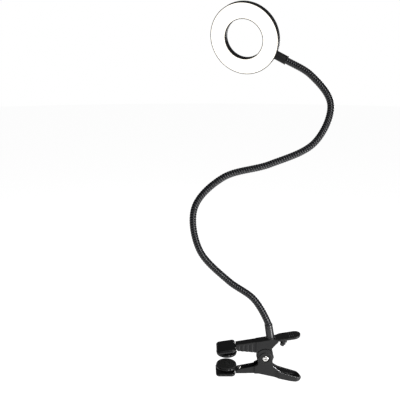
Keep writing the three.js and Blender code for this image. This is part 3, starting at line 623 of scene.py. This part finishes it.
def lower_arm():
    half = ARCH_HALF
    rise = math.sqrt(ARCH_RADIUS ** 2 - half ** 2)
    corner = math.asin(rise / ARCH_RADIUS)
    cheek = [(PIVOT.x - half, -13.4)]
    cheek += arc(PIVOT.x, PIVOT.z, ARCH_RADIUS, math.pi - corner, corner, 24)
    cheek += [(PIVOT.x + half, -12)]
    cheek += curve_to((PIVOT.x + half, -12), (PIVOT.x + half, -15.8), (62, -18.6))
    cheek += [(80, -30), (80, under_at(80)), (41.2, under_at(41.2)), (36, -26.3), (36, -15.9)]
    pad = [(60, -18), (66, -22.6)] + curve_to((66, -22.6), (80, -27.4), (92, -31))
    pad += curve_to((92, -31), (96, -32.6), (LOWER_TIP, -34.2))
    pad += curve_to((LOWER_TIP, -34.2), (95, -36.8), (88, -36.6))
    pad += [(82, under_at(82)), (60, under_at(60))]
    beam = [(BEAM_START, -26.6), (40, -26.2), (40, -15.5), (14.6, -20.9), (BEAM_START, -23.5)]
    room_end = LOWER_TIP - 1.8
    lever_room = [(41, 30), (38, -23.9), (44, under_at(44) + 2), (82, under_at(82) + 2), (89, -34.5),
                  (room_end, -33.6), (room_end, 30)]
    beam_room = [(10.6, -24.4), (42, -24.1), (42, 0), (10.6, 0)]
    scoop = combine(prism(lever_room, -PAD_HALF, PAD_HALF),
                    [("&", lever_plan(30, room_end, CHEEK_IN, PAD_HALF - 1.8))])
    arm = prism(cheek, -CHEEK_OUT, CHEEK_OUT)
    combine(arm, [
        ("+", prism(pad, -PAD_HALF, PAD_HALF)),
        ("&", lever_plan(35, LOWER_TIP, CHEEK_OUT, PAD_HALF)),
        ("+", prism(beam, -BEAM_HALF, BEAM_HALF)),
        ("+", disc(BOSS_RADIUS, -BOSS_FACE, BOSS_FACE)),
        ("-", scoop),
        ("-", prism(beam_room, -BEAM_ROOM_HALF, BEAM_ROOM_HALF)),
        ("-", disc(PIVOT_BORE, -BOSS_FACE - 1, BOSS_FACE + 1, 32)),
        ("-", disc(SCREW_SEAT_RADIUS, -BOSS_FACE - 1, -SEAT, 48)),
        ("-", disc(NUT_SEAT_RADIUS, SEAT, BOSS_FACE + 1, 6)),
    ])
    moulded(arm, 0.3, 3)
    finished(arm, "lower_arm_moulded", "clip_lower", "clip_black", clip_black, "lower_arm")


upper_arm()
lower_arm()


# ---------------------------------------------------------------- screws, nuts and pins

def cross_recess(matrix, top, reach, wide, deep):
    """The tapered cross of a Phillips head, to be cut from the crown."""
    arms = []
    for way in ((1, 0), (0, 1)):
        rings = []
        for height, share in ((top + 0.4, 1.08), (top, 1), (top - deep * 0.6, 0.62), (top - deep, 0.3)):
            long, thick = reach * share, wide * (0.6 + 0.4 * share)
            x, y = (long, thick) if way == (1, 0) else (thick, long)
            rings.append([(-x, -y, height), (x, -y, height), (x, y, height), (-x, y, height)])
        arms.append(loft("part", rings, matrix))
    return combine(arms[0], [("+", arms[1])])


def screw(name, body, node, matrix, head, shank, top, bottom, seat, bump_high=1.0, recess=0.7):
    """A pan-head screw about Z: the radii of head and shank, and the heights of crown, tip and seat."""
    crown = [(0, top), (head * 0.45, top - bump_high * 0.12), (head * 0.8, top - bump_high * 0.5),
             (head, seat + 0.45), (head, seat), (shank, seat)]
    threads = []
    pitch = shank * 0.5
    z = seat - pitch
    while z > bottom + 2 * pitch and (seat - bottom) > 4:
        threads += [(shank, z), (shank * 0.88, z - pitch * 0.35), (shank * 0.88, z - pitch * 0.5),
                    (shank, z - pitch * 0.85)]
        z -= pitch
    profile = crown + threads + [(shank, bottom + 0.3), (shank - 0.3, bottom), (0, bottom)]
    piece = turned("screw", profile, 0.18, 56, matrix, 2)
    combine(piece, [("-", cross_recess(matrix, top, head * recess, head * 0.17, 1.5))])
    finished(piece, name, body, "steel", steel, node)


def nut(name, body, node, matrix, radius, bore, low, high):
    """A hexagon nut with both its faces chamfered."""
    turns = [math.radians(60 * k) for k in range(6)]
    sides = [(radius * math.cos(turn), radius * math.sin(turn)) for turn in turns]
    piece = loft("nut", [[(x, y, z) for x, y in sides] for z in (low, high)], matrix)
    edge = radius * 0.9
    wide = radius * 1.02
    chamfer = turned("part", [(0, low), (edge, low), (wide, low + 0.35), (wide, high - 0.35), (edge, high),
                              (0, high)], 0.05, 64, matrix)
    combine(piece, [("&", chamfer), ("-", rod(bore, low - 1, high + 1, matrix, 40))])
    finished(piece, name, body, "steel", steel, node)


def pin(name, body, node, matrix, radius, low, high):
    profile = [(0, low), (radius, low), (radius, high), (0, high)]
    finished(turned("pin", profile, 0.25, 40, matrix), name, body, "steel", steel, node)


UPPER_TONGUE, LOWER_TONGUE = 9.7, 9.1
JAW_SCREW_X = 17


def on_tongue(tilt, height):
    """The place of the jaw screw on a tongue whose top is at the height given."""
    return Matrix.Translation((JAW_SCREW_X, 0, height + JAW_SCREW_X * math.tan(tilt))) @ Matrix.Rotation(
        -tilt, 4, "Y")


DOWN = Matrix.Rotation(math.pi, 4, "X")


def clip_hardware():
    screw("pivot_screw_head", "clip_lower", "pivot_screw", ACROSS, head=4.2, shank=1.9,
          top=SEAT + GAP + 1.9, bottom=-8.6, seat=SEAT + GAP, bump_high=1.2)
    nut("pivot_nut_hex", "clip_lower", "pivot_nut", ACROSS, 4.1, 2.2, -SEAT - GAP - 2.3, -SEAT - GAP)
    sleeve = [(PIVOT_BORE, -2.4), (3.1, -2.4), (3.1, 2.4), (PIVOT_BORE, 2.4)]
    finished(turned("sleeve", sleeve, 0.2, 48, ACROSS), "pivot_sleeve_tube", "clip_upper", "steel", steel,
             "pivot_sleeve")
    upper_place = on_tongue(TILT, UPPER_TONGUE) @ DOWN
    lower_place = TURN_OVER @ on_tongue(0, LOWER_TONGUE) @ DOWN
    jaw_screw = dict(head=2.6, shank=1.2, top=4.7, bottom=-1.2, seat=2.7, bump_high=0.8)
    screw("upper_jaw_screw_head", "clip_upper", "upper_jaw_screw", upper_place, **jaw_screw)
    screw("lower_jaw_screw_head", "clip_lower", "lower_jaw_screw", lower_place, **jaw_screw)
    nut("ferrule_nut_hex", "clip_upper", "ferrule_nut", square_to_arm(FERRULE_X), 4, 2.7, -5.3, -2.3)
    sides = (("upper", "clip_upper", Matrix.Identity(4)), ("lower", "clip_lower", TURN_OVER))
    for side, body, place in sides:
        across = place @ Matrix.Translation((0, 0, PIN_HEIGHT)) @ Matrix.Rotation(math.pi / 2, 4, "X")
        pin(side + "_foot_pin_rod", body, side + "_foot_pin", across, PIN_RADIUS, -5.6, 5.6)


clip_hardware()


def torsion_spring():
    """A wire leg on each lever and two turns about the pivot between them."""
    coil, wire, turns, reach = 4.7, 0.7, 2, 1.65
    ends = [Vector((68, 20.3)), Vector((72, -30))]
    hub = Vector((PIVOT.x, PIVOT.z))
    angles = []
    for end in ends:
        away = end - hub
        angles.append((math.atan2(away.y, away.x), math.acos(coil / away.length)))
    first = angles[0][0] + angles[0][1]
    last = angles[1][0] - angles[1][1] + 2 * math.pi * turns
    while last - first < 2 * math.pi * (turns - 0.8):
        last += 2 * math.pi
    steps = 120
    line = []
    for i in range(steps + 1):
        angle = first + (last - first) * i / steps
        line.append(Vector((hub.x + coil * math.cos(angle), -reach + 2 * reach * i / steps,
                            hub.y + coil * math.sin(angle))))
    start, end = Vector((ends[0].x, -reach, ends[0].y)), Vector((ends[1].x, reach, ends[1].y))
    legs = [start.lerp(line[0], i / 12) for i in range(12)]
    tail = [line[-1].lerp(end, i / 12) for i in range(1, 13)]
    piece = tube_along("spring", legs + line + tail, wire, 14)
    finished(piece, "torsion_spring_wire", None, "steel", spring_steel, "torsion_spring")
    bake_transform(piece)


def frames_along(points):
    """A direction and two cross directions at each point, turned as little as possible between points."""
    ways = []
    for i in range(len(points)):
        a, b = points[max(i - 1, 0)], points[min(i + 1, len(points) - 1)]
        ways.append((b - a).normalized())
    side = ways[0].orthogonal().normalized()
    out = []
    for way in ways:
        side = (side - way * side.dot(way)).normalized()
        out.append((way, side, way.cross(side)))
    return out


def tube_along(name, points, radius, sides):
    rings = []
    for point, (way, a, b) in zip(points, frames_along(points)):
        rings.append([tuple(point + a * radius * math.cos(2 * math.pi * k / sides)
                            + b * radius * math.sin(2 * math.pi * k / sides)) for k in range(sides)])
    return loft(name, rings)


torsion_spring()


# ---------------------------------------------------------------- jaws and feet

JAW_LONG, JAW_HALF, JAW_MIDDLE, JAW_DEEP = 24.8, 14.5, -1.4, 4.4
# The jaw plate's skin over the top, down the side and in below: how far in from the outline, and how high.
JAW_PROFILE = [(9, 0.0), (4.5, -0.01), (2.6, -0.08), (1.7, -0.22), (1.05, -0.5), (0.55, -0.92),
               (0.22, -1.45), (0.04, -2.05), (0.0, -2.6), (0.08, -3.15), (0.3, -3.65), (0.62, -4.05),
               (1.02, -4.3), (1.35, -4.4), (1.62, -4.3), (1.75, -4.0), (1.8, -3.4), (1.9, -2.4),
               (2.3, -2.1), (3.4, -2.0), (9, -2.0)]


def rounded_plan(long, half, corner, inset, z):
    """Points round a rounded rectangle that is drawn in by inset."""
    x, y = long / 2 - inset, half - inset
    r = max(corner - inset, 0.4)
    out = []
    for quarter, (cx, cy) in enumerate(((x - r, y - r), (-x + r, y - r), (-x + r, -y + r), (x - r, -y + r))):
        for k in range(11):
            angle = (quarter + k / 10) * math.pi / 2
            out.append((cx + r * math.cos(angle), cy + r * math.sin(angle), z))
        nx, ny = ((-x + r, y - r), (-x + r, -y + r), (x - r, -y + r), (x - r, y - r))[quarter]
        here = Vector(out[-1])
        angle = (quarter + 1) * math.pi / 2
        there = Vector((nx + r * math.cos(angle), ny + r * math.sin(angle), z))
        out += [tuple(here.lerp(there, k / 8)) for k in range(1, 8)]
    return out


def jaw_plate(side, body, top, tilt, tongue_top, place):
    """A cap with lugs for the foot's pin and a tongue into the arm. Its skirt is open where the foot tilts."""
    lean = Matrix.Rotation(-tilt, 4, "Y")
    seat = Matrix.Translation((0, 0, top)) @ lean @ Matrix.Translation((JAW_MIDDLE, 0, 0))
    rings = [rounded_plan(JAW_LONG, JAW_HALF, 4.6, inset, z) for inset, z in JAW_PROFILE]
    plate = loft("plate", rings, place @ seat)
    foot_room = block(-20, -6, -JAW_HALF + 2.3, JAW_HALF - 2.3, -JAW_DEEP - 0.6, -PLATE_THICK, place @ seat)
    steps = [("-", foot_room)]
    for low, high in ((3.6, 5.2), (-5.2, -3.6)):
        lug = arc(0, PIN_HEIGHT, 2.2, math.pi, 2 * math.pi, 16) + [(2.2, top - 1), (-2.2, top - 1)]
        steps.append(("+", prism(lug, low, high, place, 0.2)))
    tongue = Matrix.Translation((0, 0, tongue_top)) @ lean
    steps.append(("+", prism([(5, -2.4), (23, -2.4), (23, 0), (10.6, 0), (10.6, 1.2), (5, 1.2)], -3.5, 3.5,
                             place @ tongue, 0.3)))
    bore = Matrix.Translation((0, 0, PIN_HEIGHT)) @ Matrix.Rotation(math.pi / 2, 4, "X")
    steps.append(("-", rod(PIN_BORE, -6, 6, place @ bore, 32)))
    combine(plate, steps)
    finished(plate, side + "_jaw_plate_cap", body, "clip_black", beam_black, side + "_jaw_plate")


def foot(side, body, place):
    """A round dish with a rolled rim on the foot's pin, and its ringed rubber sole."""
    outside = [(0, 1.8), (12.4, 1.8), (13.1, 2.0), (13.5, 2.6), (13.3, 3.3), (12.7, 3.8), (11.9, 3.95),
               (11.2, 3.7), (10.8, 3.1), (9.6, 2.95), (0, 2.95)]
    dish = lathe("dish", rounded(outside, 0.35, 3, closed=False), 96, place)
    lug = arc(0, PIN_HEIGHT, 2.3, 0, math.pi, 16) + [(-2.3, 2.5), (2.3, 2.5)]
    bore = Matrix.Translation((0, 0, PIN_HEIGHT)) @ Matrix.Rotation(math.pi / 2, 4, "X")
    combine(dish, [("+", prism(lug, -3.2, 3.2, place, 0.3)), ("-", rod(PIN_BORE, -4, 4, place @ bore, 32))])
    finished(dish, side + "_foot_dish", body, "foot_black", foot_black, side + "_foot")
    grooves = []
    for radius in (4, 6.5, 9, 11.2):
        grooves += [(radius - 0.5, 0), (radius - 0.3, 0.35), (radius + 0.3, 0.35), (radius + 0.5, 0)]
    sole = [(0, 0)] + grooves + [(12.5, 0), (12.9, 0.4), (12.9, 1.5), (0, 1.5)]
    pad = lathe("sole", rounded(sole, 0.18, 2, closed=False), 96, place)
    finished(pad, side + "_foot_sole_pad", body, "sole_rubber", sole_rubber, side + "_foot_sole")


jaw_plate("upper", "clip_upper", 11, TILT, UPPER_TONGUE, Matrix.Identity(4))
jaw_plate("lower", "clip_lower", 11.4, 0, LOWER_TONGUE, TURN_OVER)
foot("upper", "upper_pad", Matrix.Identity(4))
foot("lower", "lower_pad", TURN_OVER)


# ---------------------------------------------------------------- ferrule and cord gland

def ferrule():
    profile = [(1.35, -6.4), (2.4, -6.4), (2.4, 1.5), (5.6, 1.5), (5.65, 2.5), (5.3, 3.3), (5.22, 9),
               (5.2, 15.1), (4.92, 15.45), (4.92, 15.95), (5.15, 16.3), (5.12, 19.0), (4.95, FERRULE_LONG),
               (4.7, FERRULE_LONG), (4.7, 11), (1.35, 11)]
    piece = lathe("ferrule", rounded(profile, 0.3, 4), 96, square_to_arm(FERRULE_X))
    finished(piece, "neck_ferrule_sleeve", "clip_upper", "ferrule_black", ferrule_black, "neck_ferrule")


def cord_gland():
    flange_top = -PLATE_THICK - GAP
    flange = [(0, flange_top - 1.2), (4, flange_top - 1.2), (4, flange_top), (2.1, flange_top), (2.1, -1),
              (0, -1)]
    spout = [(0, -12.6), (2.7, -12.6), (2.95, -9.8), (3.7, -9.6), (3.7, -8.2), (3.05, -8), (3.15, -6.2),
             (4, -6), (4, -4.6), (3.2, -4.4), (3.2, -1.6), (0, -1.6)]
    slant = Matrix.Translation((GLAND_X + 0.4, 0, top_at(GLAND_X) + flange_top)) @ Matrix.Rotation(
        math.radians(24), 4, "Y")
    square = square_to_arm(GLAND_X)
    piece = lathe("gland", rounded(flange, 0.3, 3, closed=False), 64, square)
    combine(piece, [
        ("+", lathe("spout", rounded(spout, 0.35, 3, closed=False), 64, slant)),
        ("-", rod(1.5, -14, -2, slant, 32)),
        ("-", block(-8, 1.2, -1.3, 1.3, flange_top - 3.1, flange_top + 0.1, square)),
    ])
    finished(piece, "cord_gland_spout", "clip_upper", "clip_black", foot_black, "cord_gland")


ferrule()
cord_gland()


# ---------------------------------------------------------------- head frame

RING_OUTER, RING_INNER, RING_DEEP, RING_WALL = 47, 26, 10, 1.4
COLLAR_START, COLLAR_END = RING_OUTER - 1, RING_OUTER + 16
HEAD_CENTRE = Vector((22.3, 107, 391.9))
YAW, PITCH = math.radians(25.7), math.radians(17.9)
COLLAR_ANGLE = math.radians(-28.5)
FACE = Vector((-math.sin(YAW) * math.cos(PITCH), -math.cos(YAW) * math.cos(PITCH), -math.sin(PITCH)))
LEVEL = Vector((math.cos(YAW), -math.sin(YAW), 0))
COLLAR_WAY = Matrix.Rotation(COLLAR_ANGLE, 3, FACE) @ LEVEL
HEAD_TURN = Matrix((COLLAR_WAY, FACE.cross(COLLAR_WAY), FACE)).transposed().to_4x4()
HEAD = Matrix.Translation(HEAD_CENTRE) @ HEAD_TURN
COLLAR_LEVEL = -5.2
COLLAR = HEAD @ Matrix.Translation((0, 0, COLLAR_LEVEL)) @ Matrix.Rotation(math.pi / 2, 4, "Y")


def along_collar(distance):
    return HEAD @ Vector((distance, 0, COLLAR_LEVEL))


# ---------------------------------------------------------------- gooseneck

NECK_JOINTS = 9
PITCH_LONG = 3.15
NECK_SIDES = 28
# One turn of the winding: the share of its pitch, and the radius there.
RIB = [(0.0, 4.08), (0.06, 4.18), (0.16, 4.31), (0.32, 4.42), (0.5, 4.46), (0.68, 4.42), (0.84, 4.31),
       (0.94, 4.18)]
BEND_REACH = 20
FIRST_BEND_REACH = 17
NECK_INSET = 8


def neck_points():
    """The neck's centre line from the ferrule's foot into the collar, and where its stations are on it."""
    along_ferrule = (0, FERRULE_LONG - NECK_INSET, FERRULE_LONG)
    stations = [square_to_arm(FERRULE_X) @ Vector((0, 0, height)) for height in along_ferrule]
    stations += [joint_at(f"neck_bend_{i + 1}") for i in range(NECK_JOINTS)]
    stations += [along_collar(COLLAR_END), along_collar(RING_OUTER), along_collar(RING_OUTER - 4)]
    line, marks = [], []
    steps = 160
    last = len(stations) - 1
    for i in range(last):
        p1, p2 = stations[i], stations[i + 1]
        p0 = stations[i - 1] if i else p1 * 2 - p2
        p3 = stations[i + 2] if i + 2 <= last else p2 * 2 - p1
        d0, d1, d2 = ((b - a).length ** 0.5 for a, b in ((p0, p1), (p1, p2), (p2, p3)))
        t1 = ((p1 - p0) / d0 - (p2 - p0) / (d0 + d1) + (p2 - p1) / d1) * d1
        t2 = ((p2 - p1) / d1 - (p3 - p1) / (d1 + d2) + (p3 - p2) / d2) * d1
        marks.append(len(line))
        for k in range(steps):
            t = k / steps
            line.append(p1 + t1 * t + (p1 * -3 + p2 * 3 - t1 * 2 - t2) * t ** 2
                        + (p1 * 2 - p2 * 2 + t1 + t2) * t ** 3)
    marks.append(len(line))
    line.append(stations[-1])
    return line, marks


class Route:
    """The neck's line by distance along it."""

    def __init__(self):
        self.line, marks = neck_points()
        self.frames = frames_along(self.line)
        self.far = [0.0]
        for a, b in zip(self.line, self.line[1:]):
            self.far.append(self.far[-1] + (b - a).length)
        self.stations = [self.far[m] for m in marks]
        self.spot = 0

    def at(self, distance):
        """The point and the two cross directions at a distance."""
        far = self.far
        i = min(max(self.spot, 0), len(far) - 2)
        while i > 0 and far[i] > distance:
            i -= 1
        while i < len(far) - 2 and far[i + 1] < distance:
            i += 1
        self.spot = i
        t = (distance - far[i]) / (far[i + 1] - far[i])
        a = self.frames[i][1].lerp(self.frames[i + 1][1], t)
        b = self.frames[i][2].lerp(self.frames[i + 1][2], t)
        return self.line[i].lerp(self.line[i + 1], t), a.normalized(), b.normalized()


def gooseneck():
    """The ribs run on as one helix. Each piece of skin spans one flex joint, between two mid-lengths."""
    route = Route()
    ferrule_end, first_joint = 2, 3
    joint_far = route.stations[first_joint:first_joint + NECK_JOINTS]
    start = route.stations[ferrule_end] - 3
    end = route.stations[first_joint + NECK_JOINTS] + 4
    whole = int((end - start) / PITCH_LONG)
    borders = [0]
    for a, b in zip(joint_far, joint_far[1:]):
        borders.append(round(((a + b) / 2 - start) / PITCH_LONG))
    borders.append(whole)
    per_turn = len(RIB)
    bends = [joints[f"neck_bend_{i + 1}"] for i in range(NECK_JOINTS)]
    for i, joint in enumerate(bends):
        first, last = borders[i] * per_turn, borders[i + 1] * per_turn
        points, index = [], {}

        def vertex(row, side):
            """Row counts along the winding at side 0; a full turn round the neck moves on by one rib."""
            if side == NECK_SIDES and row + per_turn <= last:
                row, side = row + per_turn, 0
            key = (row, side)
            if key not in index:
                rib, k = divmod(row, per_turn)
                share, radius = RIB[k]
                distance = start + (rib + share + side / NECK_SIDES) * PITCH_LONG
                centre, a, b = route.at(min(distance, end))
                angle = 2 * math.pi * side / NECK_SIDES
                index[key] = len(points)
                points.append(tuple(centre + (a * math.cos(angle) + b * math.sin(angle)) * radius))
            return index[key]

        faces = []
        for row in range(first, last):
            for side in range(NECK_SIDES):
                faces.append((vertex(row, side), vertex(row, side + 1), vertex(row + 1, side + 1),
                              vertex(row + 1, side)))
        skin = make_object("skin", points, faces)
        nodes = [f"gooseneck_{i + 1}"]
        if i == NECK_JOINTS - 1:
            nodes.append(f"gooseneck_{NECK_JOINTS + 1}")
        finished(skin, f"neck_skin_{i + 1}", None, "neck_black", neck_black, *nodes)
        reach = FIRST_BEND_REACH if i == 0 else BEND_REACH
        centre = joint_far[i]
        route.at(centre - reach)[0] * MM
        route.at(centre + reach)[0] * MM
        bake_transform(skin)


gooseneck()


# ---------------------------------------------------------------- ring head

RIM_WIDE, RIM_DEEP = 0.8, 1.1
RING_MIDDLE = (RING_OUTER + RING_INNER) / 2
RING_SIDES = 192
BACK_SCREWS = [math.pi / 3 + 2 * math.pi * i / 3 for i in range(3)]


def head_piece(piece, name, slot, material, *nodes):
    return finished(piece, name, "head", slot, material, *nodes)


def ring_head():
    front = -RIM_DEEP - GAP
    inner, outer, back = RING_INNER, RING_OUTER, -RING_DEEP
    shell = [(inner, front), (inner, back + 1.2), (inner + 1.2, back), (inner + 4.2, back),
             (inner + 4.6, back + 0.35), (outer - 5.4, back + 0.35), (outer - 5, back), (outer - 2, back),
             (outer - 0.6, back + 0.7), (outer, back + 2.2), (outer, -3.4), (outer - 0.18, -3.25),
             (outer - 0.18, -2.95), (outer, -2.8),
             (outer, front), (outer - RING_WALL, front), (outer - RING_WALL, back + RING_WALL),
             (inner + RING_WALL, back + RING_WALL), (inner + RING_WALL, front)]
    body = lathe("shell", rounded(shell, 0.45, 4), RING_SIDES, HEAD)
    steps = [("-", rod(2.3, 30, 70, COLLAR, 32))]
    for angle in BACK_SCREWS:
        spot = HEAD @ Matrix.Rotation(angle, 4, "Z") @ Matrix.Translation((RING_MIDDLE, 0, 0))
        steps.append(("-", rod(1.3, back - 1, back + 3, spot, 32)))
    combine(body, steps)
    head_piece(body, "head_shell_ring", "head_black", head_black, "head_rear_shell")

    for name, low, high, node in (("outer_rim_band", outer - RIM_WIDE, outer, "outer_rim"),
                                  ("inner_rim_band", inner, inner + RIM_WIDE, "inner_rim")):
        band = [(low, -RIM_DEEP), (high, -RIM_DEEP), (high, -0.25), (high - 0.25, 0), (low + 0.25, 0),
                (low, -0.25)]
        rim = lathe("band", rounded(band, 0.12, 2), RING_SIDES, HEAD)
        head_piece(rim, name, "head_black", head_black, node)

    low, high = inner + RIM_WIDE + GAP * 0.5, outer - RIM_WIDE - GAP * 0.5
    opal = [(low, -RIM_DEEP), (high, -RIM_DEEP)]
    for i in range(17):
        across = 1 - i / 8
        opal.append((RING_MIDDLE + across * (high - low) / 2, 0.6 * (1 - across ** 4) - 0.2))
    glow = lit_diffuser(HEAD_CENTRE * MM, low * MM, high * MM)
    opal_ring = lathe("opal", opal, RING_SIDES, HEAD)
    head_piece(opal_ring, "diffuser_opal_ring", "diffuser_white", glow, "diffuser")

    for i, angle in enumerate(BACK_SCREWS):
        spot = HEAD @ Matrix.Rotation(angle, 4, "Z") @ Matrix.Translation((RING_MIDDLE, 0, 0)) @ DOWN
        screw(f"back_screw_head_{i + 1}", "head", f"back_screw_{i + 1}", spot, head=2.3, shank=0.95,
              top=RING_DEEP + GAP + 0.9, bottom=7.1, seat=RING_DEEP + GAP, bump_high=0.6, recess=0.6)


def head_collar():
    inside, mouth = COLLAR_END - 9, COLLAR_END - 1.7
    profile = [(1.35, COLLAR_START), (5.6, COLLAR_START), (5.6, mouth), (4.75, mouth), (4.75, inside),
               (1.35, inside)]
    piece = lathe("collar", rounded(profile, 0.25, 3), 96, COLLAR)
    inner, outer = RING_OUTER - 2, RING_OUTER + 0.25
    room = [(inner, -30), (outer, -30), (outer, 30), (inner, 30)]
    stud = [(1.35, RING_OUTER - 4), (2, RING_OUTER - 4), (2, RING_OUTER + 1), (1.35, RING_OUTER + 1)]
    combine(piece, [
        ("-", lathe("part", room, RING_SIDES, HEAD)),
        ("+", lathe("part", stud, 48, COLLAR)),
    ])
    head_piece(piece, "head_collar_sleeve", "ferrule_black", head_black, "head_collar")
    lip = [(4.75, COLLAR_END - 1.4), (5.9, COLLAR_END - 1.4), (5.9, COLLAR_END), (4.75, COLLAR_END)]
    lip_ring = lathe("lip", rounded(lip, 0.45, 5), 96, COLLAR)
    head_piece(lip_ring, "collar_ring_lip", "collar_gloss", collar_gloss, "collar_ring")
    nut_outside = RING_OUTER - RING_WALL - 0.5
    nut("collar_nut_hex", "head", "collar_nut", COLLAR, 3.3, 2.3, nut_outside - 1.8, nut_outside)


def inner_lead():
    """The stretch of lead that shows under the arm, from the gland to the ferrule's stud."""
    ways = [(75.3, 0, 21.4), (71, 0.1, 20.6), (66.2, 1.5, 17), (61.5, 1.6, 12), (58.6, 0.8, 11.4)]
    ways += [tuple(square_to_arm(FERRULE_X) @ Vector((0, 0, z))) for z in (-7.6, -3, 2)]
    curve = bpy.data.curves.new("lead", "CURVE")
    curve.dimensions = "3D"
    spline = curve.splines.new("NURBS")
    spline.points.add(len(ways) - 1)
    for point, way in zip(spline.points, ways):
        point.co = (*(Vector(way) * MM), 1)
    spline.use_endpoint_u = True
    spline.order_u = 4
    curve.resolution_u = 10
    line = bpy.data.objects.new("lead", curve)
    bpy.context.scene.collection.objects.link(line)
    bpy.context.view_layer.update()
    mesh = bpy.data.meshes.new_from_object(line.evaluated_get(bpy.context.evaluated_depsgraph_get()))
    points = [v.co / MM for v in mesh.vertices]
    bpy.data.objects.remove(line)
    tail = tube_along("lead", points, LEAD_RADIUS, 16)
    finished(tail, "inner_lead_tail", "clip_upper", "lead_jacket", lead_black, "inner_lead")


ring_head()
head_collar()
inner_lead()

for node, material in (("reflector_tray", tray_white), ("led_board", board_white)):
    data = frame["nodes"][node].data
    data.materials.clear()
    data.materials.append(material)
